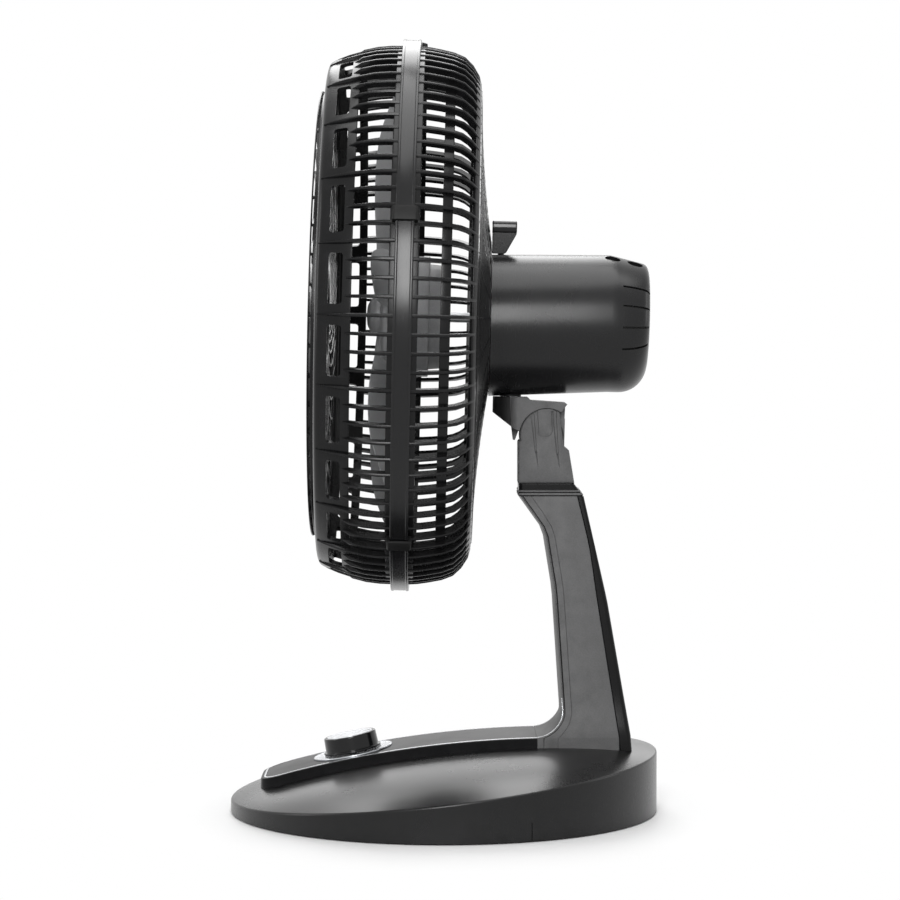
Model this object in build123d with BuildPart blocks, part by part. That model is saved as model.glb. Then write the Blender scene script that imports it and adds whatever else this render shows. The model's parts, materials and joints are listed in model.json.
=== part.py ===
from build123d import *
from math import asin, cos, degrees, hypot, pi, radians, sin, sqrt
import os

# A desk air circulator: a round dished base with a speed knob, a leaning column, a neck that the
# head tilts on, and a head with a five-clip cage, a six-blade propeller and an oscillating motor.
# Millimetres and degrees, +Z up, the fan blows towards -Y, the origin is the base's centre on the
# floor. "Station" is a distance along the fan's axis, rearwards from the cage band's middle, and
# "height" is measured up from that axis.

os.makedirs("parts", exist_ok=True)

# ---------- driving dimensions ----------

SEAT_GAP = 0.2           # between neighbours that are fixed to each other
MOVE_GAP = 0.4           # between pieces that move past each other
RUNNING_GAP = 0.05       # radial play of a shaft in its bearing
WALL = 2.4               # moulded walls

# where the head stands
PIVOT_Y = 82.0
PIVOT_Z = 301.0
HEAD_TILT = -1.4         # the head rests leaning back a little
AXIS_ABOVE_PIVOT = 92.2
BAND_AHEAD_OF_PIVOT = 113.9

# cage
BAND_RADIUS = 219.4
BAND_WIDTH = 14.0
BAND_WALL = 2.4
BAND_DEPTH = 5.6         # radial depth of the band's channel
CLIP_PITCH = 72.0
CLIP_FIRST_ANGLE = 20.0
CLIP_PLACES = (0, 2, 3, 4)   # the latch takes the place of the second one
LATCH_PLACE = 1
LATCH_TOP = 218.6
LATCH_REACH = 4.6        # behind the band's rear edge
LATCH_WIDTH = 8.0
CLIP_LENGTH = 19.0
CLIP_WIDTH = 11.0
CLIP_WALL = 1.9
RIB_COUNT = 96
LONG_RIB_EVERY = 4
RIB_THICKNESS = 2.3
RIB_DEPTH = 4.8
CAGE_RADIUS = 214.6      # over the ribs, beside the band
RIM_WIDTH = 11.0
RIM_INSET = 1.5          # the rim rings lie this far under the ribs' outer line
RING_REAR = -38.0        # the windowed ring at the front
RING_FRONT = -65.3
RING_RADIUS = 207.6      # at its rear edge
RING_CORNER_RADIUS = 198.6
RING_WALL = 3.0
RING_FACE_RADIUS = 189.0
WINDOW_LENGTH = 38.0
WINDOW_WIDTH = 10.5
WINDOW_STATION = -50.0
GRILLE_FRONT = -71.0
GRILLE_DEPTH = 8.0
GRILLE_RING = 177.0      # the outer ring of the flat front grille
GRILLE_LIP = 1.2         # front part of that ring, ahead of the slit round its side
GRILLE_SLIT = 1.4
GRILLE_ARMS = 48
GRILLE_ARM_WIDTH = 2.4
GRILLE_ARM_BEND = 165.0  # radius of each curved arm
GRILLE_RINGS = (64.0, 102.0, 140.0)
GRILLE_SWEEP = 38.0      # degrees that an arm turns on its way out
GRILLE_RING_WIDTH = 3.2
GRILLE_RIM_WIDTH = 1.8   # the grille clips into the ring with this thin rim
GRILLE_HUB_RADIUS = 43.0
CAP_RADIUS = 41.0
REAR_RING_COUNT = 14
REAR_SPOKES = 24
REAR_RING_WIDTH = 2.6
REAR_RING_DEPTH = 4.0
REAR_PLATE_RADIUS = 62.0
REAR_RIM_WIDTH = 2.6     # the rear grille's own rim, inside the corner ring
REAR_PLATE_THICKNESS = 2.8
COLLAR_RADIUS = 24.0     # the threaded collar that holds the rear grille on the motor plate
HOOP_STATION = 31.2
HOOP_WIDTH = 7.5

# propeller
BLADE_COUNT = 6
BLADE_TIP = 186.0
BLADE_THICKNESS = 2.2
BLADE_REAR = 6.0         # station of the blades' rear edge
HUB_RADIUS = 48.0
HUB_FRONT = -20.0
HUB_REAR = 28.0
SHAFT_RADIUS = 4.0
SHAFT_FRONT = -27.0
SHAFT_REAR = 189.0

# motor housing
HOUSING_FRONT = 66.8
HOUSING_REAR = 192.0
HOUSING_TOP = 50.9       # height of its top line at the front
HOUSING_BOTTOM = -62.1
HOUSING_WAIST = 161.0    # station where the top starts to slope down
HOUSING_REAR_TOP = 52.7  # height of the top line there
HOUSING_REAR_BOTTOM = -56.6
HOUSING_TOP_DROP = 7.2
HOUSING_TOP_CORNER = 5.0
HOUSING_BOTTOM_CORNER = 22.0
VENT_ANGLES = (-21.5, -3.0, 15.5, 34.0)   # four slots on each side
VENT_LENGTH = 22.0
VENT_WIDTH = 1.7
AIR_HOLE_ANGLES = (73.0, 107.0)
AIR_HOLE_STATIONS = (162.6, 180.5)
AIR_HOLE_RADIUS = 6.2

# gearbox and oscillation
OSC_STATION = 84.4       # the head swivels about the upright line through this station
OSC_RANGE = 40.0
STUD_RADIUS = 5.0
SLEEVE_WALL = 3.5
WORM_STATION = 90.0
WORM_RADIUS = 5.4
WORM_LENGTH = 16.0
SPINDLE_X = -16.0
SPINDLE_RADIUS = 3.0
WHEEL_TEETH = 24
WHEEL_THICKNESS = 7.0
PINION_RADIUS = 4.6
CRANK_THROW = 8.0
CRANK_STATION = 104.5
GEAR_THICKNESS = 5.0
PIN_RADIUS = 2.0
TOOTH_NOTCH = 0.6        # depth of the notches that stand for teeth
THREAD_DEPTH = 0.6

# oscillation knob
KNOB_STATION = 76.9
KNOB_LENGTH = 19.0
KNOB_TOP = 78.0
KNOB_BAR = 10.6
KNOB_WIDTH = 12.0
KNOB_STEM_RADIUS = 2.5
KNOB_STEM_STATION = 74.0

# neck and column
NECK_RADIUS = 21.6
NECK_HALF_WIDTH = 19.5
TONGUE_HALF_WIDTH = 8.0
WASHER_THICKNESS = 0.7
TILT_BOLT_RADIUS = 3.0
COLLAR_BOTTOM = 253.4
COLLAR_TOP = 263.0
COLLAR_HALF_WIDTH = 24.5
COLUMN_FOOT_HALF_WIDTH = 38.0
COLUMN_TOP_HALF_WIDTH = 23.0
COLUMN_TOE = 74.0        # where the column's toe meets the strip
COLUMN_FOOT_REAR = 141.5
COLUMN_BEND_HEIGHT = 84.0
COVER_DEPTH = 9.9        # of the rear cover behind the column's foot
COVER_INSET = 1.2        # the cover is this much narrower on each side

# base
BASE_RADIUS = 170.8
BASE_CLEARANCE = 1.6     # the wall's lower edge above the floor
RIM_HEIGHT = 29.7        # of the sloping rim, at the base's centre
RIM_SLOPE = 6.45         # the rim climbs towards the rear
CROWN_HEIGHT = 20.3      # of the dished top over the rim
SHOULDER_RADIUS = 120.0  # where the top starts to curve down faster
SHOULDER_HEIGHT = 11.7
DISH_END_DROP = 3.8      # of the dished top below the rim, where its outline ends outside the wall
FOOT_RADIUS = 9.0
FOOT_CIRCLE = 150.0
FOOT_COUNT = 3
PLATE_BOTTOM = 1.8
PLATE_THICKNESS = 2.5
BOSS_CIRCLE = 132.0
BOSS_RADIUS = 5.0
SCREW_RADIUS = 1.9
STRIP_HALF_WIDTH = 38.0
STRIP_FRONT = -146.0
STRIP_HEIGHT = 8.0
STRIP_CORNER = 20.0
TRIM_INSET = 2.6
TRIM_WIDTH = 1.3
TRIM_PROUD = 0.15
TRIM_DEPTH = 0.8

# speed control
DIAL_Y = -73.0
DIAL_LEAN = 11.4
DIAL_RADIUS = 21.5
DIAL_HEIGHT = 13.0
DIAL_SKIRT = 1.6
DIAL_WALL = 2.2
BEZEL_RADIUS = 32.0
BEZEL_THICKNESS = 1.6
BEZEL_PROUD = 0.7
SWITCH_SHAFT_RADIUS = 3.0
SWITCH_SIZE = 30.0
SWITCH_HEIGHT = 14.0
CAPACITOR_PLACE = (52.0, 30.0)
CAPACITOR_SIZE = (38.0, 18.0, 28.0)
WIRE_HOLE_Y = 118.0      # the motor's wires pass up into the column here
WIRE_HOLE_RADIUS = 9.0
GLAND_HEIGHT = 20.0
GLAND_RADIUS = 7.0
CORD_RADIUS = 3.5

# ---------- planes and axes ----------

tilt_rear = Vector(0, cos(radians(HEAD_TILT)), sin(radians(HEAD_TILT)))
tilt_up = Vector(0, -sin(radians(HEAD_TILT)), cos(radians(HEAD_TILT)))
pivot = Vector(0, PIVOT_Y, PIVOT_Z)
head_centre = pivot + tilt_up * AXIS_ABOVE_PIVOT - tilt_rear * BAND_AHEAD_OF_PIVOT
TILT_SIDE = Plane(origin=pivot, x_dir=tilt_rear, z_dir=(1, 0, 0))
HEAD = Plane(origin=head_centre, x_dir=(-1, 0, 0), z_dir=tilt_rear)
HEAD_SIDE = Plane(origin=head_centre, x_dir=tilt_rear, z_dir=(1, 0, 0))
HEAD_PLAN = Plane(origin=head_centre, x_dir=(1, 0, 0), z_dir=tilt_up)
HEAD_AXIS = Axis(head_centre, tilt_rear)


def radial_plane(angle):
    """The plane through the fan's axis at an angle from +X towards up: (station, radius)."""
    outward = Vector(cos(radians(angle)), 0, 0) + tilt_up * sin(radians(angle))
    return Plane(origin=head_centre, x_dir=tilt_rear, z_dir=tilt_rear.cross(outward))


def rib_plate(outline):
    """A flat cage rib in the fan's own frame; its outline is given as (radius, station)."""
    with BuildPart() as rib:
        with BuildSketch(Plane.XZ):
            Polygon(*outline, align=None)
        extrude(amount=RIB_THICKNESS / 2, both=True)
    return rib.part


def strip_outline(points, depth):
    """Closes a line of (radius, station) points with the same line moved inwards."""
    return [*points, *[(radius - depth, station) for radius, station in reversed(points)]]


# ---------- front cage ----------

rim_radius = CAGE_RADIUS - RIM_INSET
band_inner = BAND_RADIUS - BAND_WALL
rim_lip_outer = band_inner - SEAT_GAP
lip_width = BAND_WIDTH / 2 - BAND_WALL - SEAT_GAP
rib_foot = rim_radius - RIB_DEPTH + RIM_INSET
shoulder_station = RING_FRONT + 5.6
ring_profile = [
    (RING_REAR, RING_RADIUS),
    (WINDOW_STATION, RING_RADIUS - 3.2),
    (shoulder_station - 0.8, RING_CORNER_RADIUS + 2.8),
    (RING_FRONT + 1.7, RING_CORNER_RADIUS + 0.8),
    (RING_FRONT, RING_CORNER_RADIUS - 3.0),
    (RING_FRONT, RING_FACE_RADIUS),
    (RING_FRONT + RING_WALL, RING_FACE_RADIUS),
    (RING_FRONT + RING_WALL, RING_CORNER_RADIUS - 5.0),
    (shoulder_station, RING_CORNER_RADIUS - 2.2),
    (WINDOW_STATION, RING_RADIUS - 3.2 - RING_WALL),
    (RING_REAR, RING_RADIUS - RING_WALL),
]
rim_profile = [
    (-RIM_WIDTH, rib_foot),
    (-SEAT_GAP, rib_foot),
    (-SEAT_GAP, rim_lip_outer),
    (-lip_width, rim_lip_outer),
    (-lip_width, rim_radius),
    (-RIM_WIDTH, rim_radius),
]
front_rib_line = [
    (CAGE_RADIUS, -BAND_WIDTH / 2 - 2.2),
    (CAGE_RADIUS - 1.0, -22.0),
    (CAGE_RADIUS - 4.2, RING_REAR - 1.0),
]
long_rib_line = [
    (CAGE_RADIUS - 4.2, RING_REAR - 1.0),
    (CAGE_RADIUS - 7.8, WINDOW_STATION),
    (CAGE_RADIUS - 11.0, WINDOW_STATION - 8.0),
    (RING_CORNER_RADIUS + 1.6, shoulder_station - 3.0),
]
short_rib = rib_plate(strip_outline(front_rib_line, RIB_DEPTH))
long_rib_outline = [
    *front_rib_line[:2],
    *long_rib_line,
    (RING_CORNER_RADIUS - 1.0, shoulder_station - 0.6),
    (RING_RADIUS - 3.2 - RING_WALL / 2, WINDOW_STATION),
    (CAGE_RADIUS - 4.2 - RIB_DEPTH, RING_REAR - 1.0),
    (CAGE_RADIUS - 1.0 - RIB_DEPTH, -22.0),
    (CAGE_RADIUS - RIB_DEPTH, -BAND_WIDTH / 2 - 2.2),
]
long_rib = rib_plate(long_rib_outline)
rib_pitch = 360 / RIB_COUNT
long_pitch = rib_pitch * LONG_RIB_EVERY
short_angles = [n * rib_pitch for n in range(RIB_COUNT) if n % LONG_RIB_EVERY]
long_angles = [n * rib_pitch for n in range(RIB_COUNT) if n % LONG_RIB_EVERY == 0]
short_places = [Location((0, 0, 0), (0, 0, angle)) for angle in short_angles]
long_places = [Location((0, 0, 0), (0, 0, angle)) for angle in long_angles]

with BuildPart() as window_cutter:
    with BuildSketch(Plane(origin=(RING_FACE_RADIUS, 0, WINDOW_STATION), x_dir=(0, 1, 0), z_dir=(1, 0, 0))):
        RectangleRounded(WINDOW_LENGTH, WINDOW_WIDTH, WINDOW_WIDTH / 4)
    extrude(amount=RING_RADIUS - RING_FACE_RADIUS + RING_WALL)

with BuildPart(HEAD) as front_cage:
    with BuildSketch(HEAD_SIDE):
        Polygon(*ring_profile, align=None)
        Polygon(*rim_profile, align=None)
    revolve(axis=HEAD_AXIS)
    with PolarLocations(0, len(long_places), start_angle=long_pitch / 2):
        add(window_cutter.part, mode=Mode.SUBTRACT)
    with Locations(*short_places):
        add(short_rib)
    with Locations(*long_places):
        add(long_rib)

# the flat grille clips into the ring: curved arms, three rings, a rim and short bars out to it
arm_reach = GRILLE_RING - 1.0
arm_end = (arm_reach * cos(radians(GRILLE_SWEEP)), arm_reach * sin(radians(GRILLE_SWEEP)))
grille_rim = RING_FACE_RADIUS - SEAT_GAP
with BuildSketch() as grille_arm:
    with BuildLine():
        RadiusArc((GRILLE_HUB_RADIUS - 2.0, 0), arm_end, GRILLE_ARM_BEND)
    trace(line_width=GRILLE_ARM_WIDTH)


def flat_ring(outer, inner):
    """A flat ring round the origin."""
    with BuildSketch() as ring:
        Circle(outer)
        Circle(inner, mode=Mode.SUBTRACT)
    return ring.sketch


with BuildPart() as front_grille:
    with BuildSketch(HEAD.offset(GRILLE_FRONT)):
        add(flat_ring(GRILLE_RING, GRILLE_RING - GRILLE_RING_WIDTH))
    extrude(amount=GRILLE_LIP)
    with BuildSketch(HEAD.offset(GRILLE_FRONT + GRILLE_LIP + GRILLE_SLIT)):
        add(flat_ring(GRILLE_RING, GRILLE_RING - GRILLE_RING_WIDTH))
    extrude(amount=GRILLE_DEPTH - GRILLE_LIP - GRILLE_SLIT)
    with BuildSketch(HEAD.offset(GRILLE_FRONT)):
        add(flat_ring(GRILLE_HUB_RADIUS, CAP_RADIUS - 6.0))
        for radius in GRILLE_RINGS:
            add(flat_ring(radius + GRILLE_ARM_WIDTH / 2, radius - GRILLE_ARM_WIDTH / 2))
        with PolarLocations(0, GRILLE_ARMS):
            add(grille_arm.sketch)
    extrude(amount=GRILLE_DEPTH)
    with BuildSketch(HEAD.offset(RING_FRONT)):
        add(flat_ring(grille_rim, grille_rim - GRILLE_RIM_WIDTH))
        with PolarLocations((GRILLE_RING + grille_rim - GRILLE_RIM_WIDTH) / 2, GRILLE_ARMS):
            Rectangle(grille_rim - GRILLE_RIM_WIDTH - GRILLE_RING + 1.2, GRILLE_ARM_WIDTH)
    extrude(amount=GRILLE_FRONT + GRILLE_DEPTH - RING_FRONT)

# the plain badge-less cap in the middle of the grille
with BuildPart() as front_cap:
    with BuildSketch(HEAD.offset(GRILLE_FRONT - 1.6)):
        Circle(CAP_RADIUS)
    extrude(amount=1.6 - SEAT_GAP)
    with BuildSketch(HEAD.offset(GRILLE_FRONT - SEAT_GAP)):
        Circle(CAP_RADIUS - 6.0 - SEAT_GAP)
        Circle(CAP_RADIUS - 9.0, mode=Mode.SUBTRACT)
    extrude(amount=GRILLE_DEPTH)
    fillet(front_cap.edges().filter_by(GeomType.CIRCLE).sort_by(HEAD_AXIS)[0], 1.0)

# ---------- rear cage ----------

rear_rib_line = [
    (CAGE_RADIUS, BAND_WIDTH / 2 + 2.2),
    (CAGE_RADIUS - 2.2, 21.8),
    (CAGE_RADIUS - 4.6, 33.8),
    (CAGE_RADIUS - 8.2, 41.9),
    (CAGE_RADIUS - 14.6, 48.5),
    (CAGE_RADIUS - 22.6, 53.4),
    (CAGE_RADIUS - 28.4, 55.0),
]
rear_rib_inner = [
    (CAGE_RADIUS - 29.4, 50.6),
    (CAGE_RADIUS - 24.4, 49.0),
    (CAGE_RADIUS - 18.0, 45.2),
    (CAGE_RADIUS - 12.8, 39.6),
    (CAGE_RADIUS - 9.4, 33.0),
    (CAGE_RADIUS - 7.0, 21.8),
    (CAGE_RADIUS - RIB_DEPTH, BAND_WIDTH / 2 + 2.2),
]
rear_rib = rib_plate([*rear_rib_line, *rear_rib_inner])
corner_inner = CAGE_RADIUS - 34.0
corner_profile = [
    (51.6, CAGE_RADIUS - 20.6),
    (54.4, CAGE_RADIUS - 25.6),
    (55.6, corner_inner),
    (52.4, corner_inner),
    (51.2, CAGE_RADIUS - 27.0),
    (48.8, CAGE_RADIUS - 22.6),
]
# the rear face deepens slowly from the corner ring to the motor plate
rear_plate_front = HOUSING_FRONT - 0.5 - REAR_PLATE_THICKNESS
face_line = [
    (corner_inner - SEAT_GAP, 56.0),
    (157.0, 56.6),
    (129.0, 58.2),
    (109.0, 60.2),
    (85.0, 64.0),
    (REAR_PLATE_RADIUS - 1.0, HOUSING_FRONT - 0.6),
]


def face_station(radius):
    """The rear face's station at a radius, along straight pieces of its line."""
    for (outer, outer_station), (inner, inner_station) in zip(face_line, face_line[1:]):
        if radius >= inner:
            share = (outer - radius) / (outer - inner)
            return outer_station + share * (inner_station - outer_station)
    return face_line[-1][1]


spoke_line = [*face_line, *[(radius, station - REAR_RING_DEPTH) for radius, station in reversed(face_line)]]
spoke = rib_plate(spoke_line)
ring_step = (face_line[0][0] - REAR_PLATE_RADIUS) / (REAR_RING_COUNT + 1)
rear_ring_radii = [REAR_PLATE_RADIUS + ring_step * (n + 1) for n in range(REAR_RING_COUNT)]
plate_bore = COLLAR_RADIUS + SEAT_GAP
hoop_outer = CAGE_RADIUS - 8.2

with BuildPart(HEAD) as rear_cage:
    with BuildSketch(HEAD_SIDE):
        Polygon(*[(-station, radius) for station, radius in rim_profile], align=None)
        Polygon(*corner_profile, align=None)
        with Locations((HOOP_STATION, hoop_outer - 1.6)):
            Rectangle(HOOP_WIDTH, 3.2)
    revolve(axis=HEAD_AXIS)
    with PolarLocations(0, RIB_COUNT):
        add(rear_rib)

with BuildPart(HEAD) as rear_grille:
    with BuildSketch(HEAD_SIDE):
        for radius in rear_ring_radii:
            with Locations((face_station(radius) - REAR_RING_DEPTH / 2, radius)):
                Rectangle(REAR_RING_DEPTH, REAR_RING_WIDTH)
        with Locations((face_line[0][1] - REAR_RING_DEPTH / 2, face_line[0][0] - REAR_RIM_WIDTH / 2)):
            Rectangle(REAR_RING_DEPTH, REAR_RIM_WIDTH)
        with Locations((rear_plate_front + REAR_PLATE_THICKNESS / 2, (REAR_PLATE_RADIUS + plate_bore) / 2)):
            Rectangle(REAR_PLATE_THICKNESS, REAR_PLATE_RADIUS - plate_bore)
    revolve(axis=HEAD_AXIS)
    with PolarLocations(0, REAR_SPOKES):
        add(spoke)

# ---------- band and clips ----------

with BuildPart() as cage_band:
    with BuildSketch(HEAD_SIDE):
        with Locations((0, BAND_RADIUS - BAND_DEPTH / 2)):
            RectangleRounded(BAND_WIDTH, BAND_DEPTH, 1.8)
        with Locations((0, BAND_RADIUS - BAND_WALL - BAND_DEPTH / 2)):
            Rectangle(BAND_WIDTH - 2 * BAND_WALL, BAND_DEPTH, mode=Mode.SUBTRACT)
    revolve(axis=HEAD_AXIS)

clip_top = BAND_RADIUS + SEAT_GAP + CLIP_WALL
clip_height = clip_top - CAGE_RADIUS - SEAT_GAP
with BuildPart() as band_clips:
    for n in CLIP_PLACES:
        with BuildSketch(radial_plane(CLIP_FIRST_ANGLE + n * CLIP_PITCH)):
            with Locations((0, clip_top - clip_height / 2)):
                Rectangle(CLIP_LENGTH, clip_height)
            with Locations((0, clip_top - CLIP_WALL - clip_height / 2)):
                Rectangle(BAND_WIDTH + 2 * SEAT_GAP, clip_height, mode=Mode.SUBTRACT)
        extrude(amount=CLIP_WIDTH / 2, both=True)
    latch_front = BAND_WIDTH / 2 + SEAT_GAP
    latch_rear = BAND_WIDTH / 2 + LATCH_REACH
    latch_foot = CAGE_RADIUS + SEAT_GAP
    with BuildSketch(radial_plane(CLIP_FIRST_ANGLE + LATCH_PLACE * CLIP_PITCH)):
        Polygon((latch_front, latch_foot), (latch_rear, latch_foot), (latch_rear, LATCH_TOP - 1.2),
                (latch_front, LATCH_TOP), align=None)
    extrude(amount=LATCH_WIDTH / 2, both=True)

# ---------- propeller, shaft and rotor ----------

blade_roots = [(44.0, 40.0, 31.0), (90.0, 78.0, 34.0), (140.0, 102.0, 31.0), (BLADE_TIP, 100.0, 17.0)]


def blade_section(radius, chord, axial):
    """A thin bowed blade section on the plane square to the radius."""
    half = sqrt(chord * chord - axial * axial) / 2
    front = (-half, BLADE_REAR - axial)
    rear = (half, BLADE_REAR)
    middle = (0, BLADE_REAR - axial / 2 + chord * 0.05)
    lift = BLADE_THICKNESS
    lifted_rear, lifted_front = (rear[0], rear[1] + lift), (front[0], front[1] + lift)
    with BuildSketch(Plane(origin=(radius, 0, 0), x_dir=(0, 1, 0), z_dir=(1, 0, 0))) as section:
        with BuildLine():
            ThreePointArc(front, middle, rear)
            Line(rear, lifted_rear)
            ThreePointArc(lifted_rear, (middle[0], middle[1] + lift), lifted_front)
            Line(lifted_front, front)
        make_face()
    return section.sketch


with BuildPart() as blade:
    loft(sections=[blade_section(*root) for root in blade_roots])

hub_wall = 2.6
bore_radius = SHAFT_RADIUS + 0.02
hub_profile = [
    (HUB_FRONT, bore_radius),
    (HUB_FRONT, HUB_RADIUS - 8.0),
    (HUB_FRONT + 2.4, HUB_RADIUS - 2.4),
    (HUB_FRONT + 8.0, HUB_RADIUS),
    (BLADE_REAR + 12.0, HUB_RADIUS),
    (BLADE_REAR + 12.0, HUB_RADIUS - 6.0),
    (HUB_REAR, HUB_RADIUS - 7.0),
    (HUB_REAR, HUB_RADIUS - 7.0 - hub_wall),
    (HUB_FRONT + 8.0, HUB_RADIUS - 7.0 - hub_wall),
    (HUB_FRONT + 4.0, HUB_RADIUS - 12.0),
    (HUB_FRONT + 4.0, 12.0),
    (HUB_REAR, 10.0),
    (HUB_REAR, bore_radius),
]
with BuildPart(HEAD) as propeller:
    with BuildSketch(HEAD_SIDE):
        Polygon(*hub_profile, align=None)
    revolve(axis=HEAD_AXIS)
    with PolarLocations(0, BLADE_COUNT):
        add(blade.part)

with BuildPart() as motor_shaft:
    with BuildSketch(HEAD.offset(SHAFT_FRONT)):
        Circle(SHAFT_RADIUS)
    extrude(amount=SHAFT_REAR - SHAFT_FRONT)

nut_radius = 16.0
nut_profile = [
    (HUB_FRONT - SEAT_GAP, bore_radius),
    (HUB_FRONT - SEAT_GAP, nut_radius),
    (HUB_FRONT - 4.0, nut_radius),
    (HUB_FRONT - 8.6, nut_radius - 3.0),
    (HUB_FRONT - 11.2, nut_radius - 8.0),
    (HUB_FRONT - 12.0, 0),
    (SHAFT_FRONT - 1.0, 0),
    (SHAFT_FRONT - 1.0, bore_radius),
]
with BuildPart() as blade_nut:
    with BuildSketch(HEAD_SIDE):
        Polygon(*nut_profile, align=None)
    revolve(axis=HEAD_AXIS)

STACK_FRONT = 130.0
STACK_LENGTH = 35.0
STACK_RADIUS = 38.0
AIR_GAP = 0.6
STATOR_BORE = 20.4
WINDING_LENGTH = 9.0

with BuildPart() as rotor_core:
    with BuildSketch(HEAD.offset(STACK_FRONT - 1.0)):
        Circle(STATOR_BORE - AIR_GAP)
        Circle(bore_radius, mode=Mode.SUBTRACT)
    extrude(amount=STACK_LENGTH + 2.0)

# the worm's thread is drawn as rings of its depth and pitch
worm_pitch = 3.2
with BuildPart() as worm:
    with BuildSketch(HEAD.offset(WORM_STATION - WORM_LENGTH / 2)):
        Circle(WORM_RADIUS)
        Circle(bore_radius, mode=Mode.SUBTRACT)
    extrude(amount=WORM_LENGTH)
    with BuildSketch(HEAD_SIDE):
        for n in range(int(WORM_LENGTH / worm_pitch)):
            with Locations((WORM_STATION - WORM_LENGTH / 2 + worm_pitch * (n + 0.5), WORM_RADIUS)):
                Rectangle(worm_pitch / 2, 2 * THREAD_DEPTH)
    revolve(axis=HEAD_AXIS, mode=Mode.SUBTRACT)

# ---------- motor housing ----------

vent_middle = HOUSING_REAR_BOTTOM / 2 + HOUSING_REAR_TOP / 2


def top_line(station, inset):
    """Height of the housing's top line at a station, moved inwards by an inset."""
    slope = HOUSING_TOP_DROP / (HOUSING_REAR - HOUSING_WAIST)
    height = HOUSING_REAR_TOP - slope * (station - HOUSING_WAIST) - inset
    corner = max(HOUSING_TOP_CORNER - inset, 1.0)
    into = station - (HOUSING_REAR - inset - corner)
    return height - (corner - sqrt(max(corner * corner - into * into, 0)) if into > 0 else 0)


def bottom_line(station, inset):
    """Height of the housing's bottom line at a station, moved inwards by an inset."""
    corner = HOUSING_BOTTOM_CORNER - inset
    into = station - (HOUSING_REAR - inset - corner)
    rise = corner - sqrt(max(corner * corner - into * into, 0)) if into > 0 else 0
    return HOUSING_REAR_BOTTOM + inset + rise


def round_section(station, top, bottom):
    """A circle between a top and a bottom height at a station."""
    with BuildSketch(HEAD.offset(station)) as section:
        with Locations((0, (top + bottom) / 2)):
            Circle((top - bottom) / 2)
    return section.sketch


def housing_solid(front, inset):
    """The housing's form, moved inwards by an inset: a tube and a rounded, sloping rear end."""
    rear = HOUSING_REAR - inset
    corner = HOUSING_BOTTOM_CORNER - inset
    stations = [HOUSING_WAIST, *[rear - corner * (1 - sin(radians(angle))) for angle in (0, 30, 50, 68, 82)]]
    with BuildPart() as solid:
        loft(sections=[
            round_section(front, HOUSING_TOP - inset, HOUSING_BOTTOM + inset),
            round_section(HOUSING_WAIST, top_line(HOUSING_WAIST, inset), bottom_line(HOUSING_WAIST, inset)),
        ])
        loft(sections=[round_section(at, top_line(at, inset), bottom_line(at, inset)) for at in stations])
        end = stations[-1]
        with BuildSketch(HEAD.offset(end)):
            with Locations((0, (top_line(end, inset) + bottom_line(end, inset)) / 2)):
                Circle((top_line(end, inset) - bottom_line(end, inset)) / 2)
        extrude(amount=rear - end)
    return solid.part


with BuildPart() as vent_cutter:
    with BuildSketch(Plane.XZ.offset(-VENT_WIDTH / 2)):
        with Locations((HOUSING_REAR_TOP + 2.0, HOUSING_REAR - VENT_LENGTH / 2 + 2.0)):
            Rectangle(26.0, VENT_LENGTH + 4.0)
    extrude(amount=VENT_WIDTH)

with BuildPart() as air_hole_cutter:
    with BuildSketch(Plane(origin=(HOUSING_TOP - 14.0, 0, 0), x_dir=(0, 0, 1), z_dir=(1, 0, 0))):
        with Locations(*[(station, 0) for station in AIR_HOLE_STATIONS]):
            Circle(AIR_HOLE_RADIUS)
    extrude(amount=26.0)
vent_angles = [*VENT_ANGLES, *[180 - angle for angle in VENT_ANGLES]]
vent_places = [HEAD.location * Location((0, vent_middle, 0), (0, 0, angle)) for angle in vent_angles]
hole_places = [HEAD.location * Location((0, vent_middle, 0), (0, 0, angle)) for angle in AIR_HOLE_ANGLES]
sleeve_outer = STUD_RADIUS + RUNNING_GAP + SLEEVE_WALL
with BuildPart() as motor_housing:
    add(housing_solid(HOUSING_FRONT, 0))
    add(housing_solid(HOUSING_FRONT - 1.0, WALL), mode=Mode.SUBTRACT)
    with Locations(*vent_places):
        add(vent_cutter.part, mode=Mode.SUBTRACT)
    with Locations(*hole_places):
        add(air_hole_cutter.part, mode=Mode.SUBTRACT)
    with BuildSketch(HEAD_PLAN.offset(HOUSING_TOP - 2 * WALL)):
        with Locations((0, KNOB_STEM_STATION)):
            Circle(KNOB_STEM_RADIUS + MOVE_GAP / 2)
    extrude(amount=3 * WALL, mode=Mode.SUBTRACT)
    with BuildSketch(HEAD_PLAN.offset(HOUSING_BOTTOM - WALL)):
        with Locations((0, OSC_STATION)):
            Circle(sleeve_outer + SEAT_GAP)
    extrude(amount=3 * WALL, mode=Mode.SUBTRACT)

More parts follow.
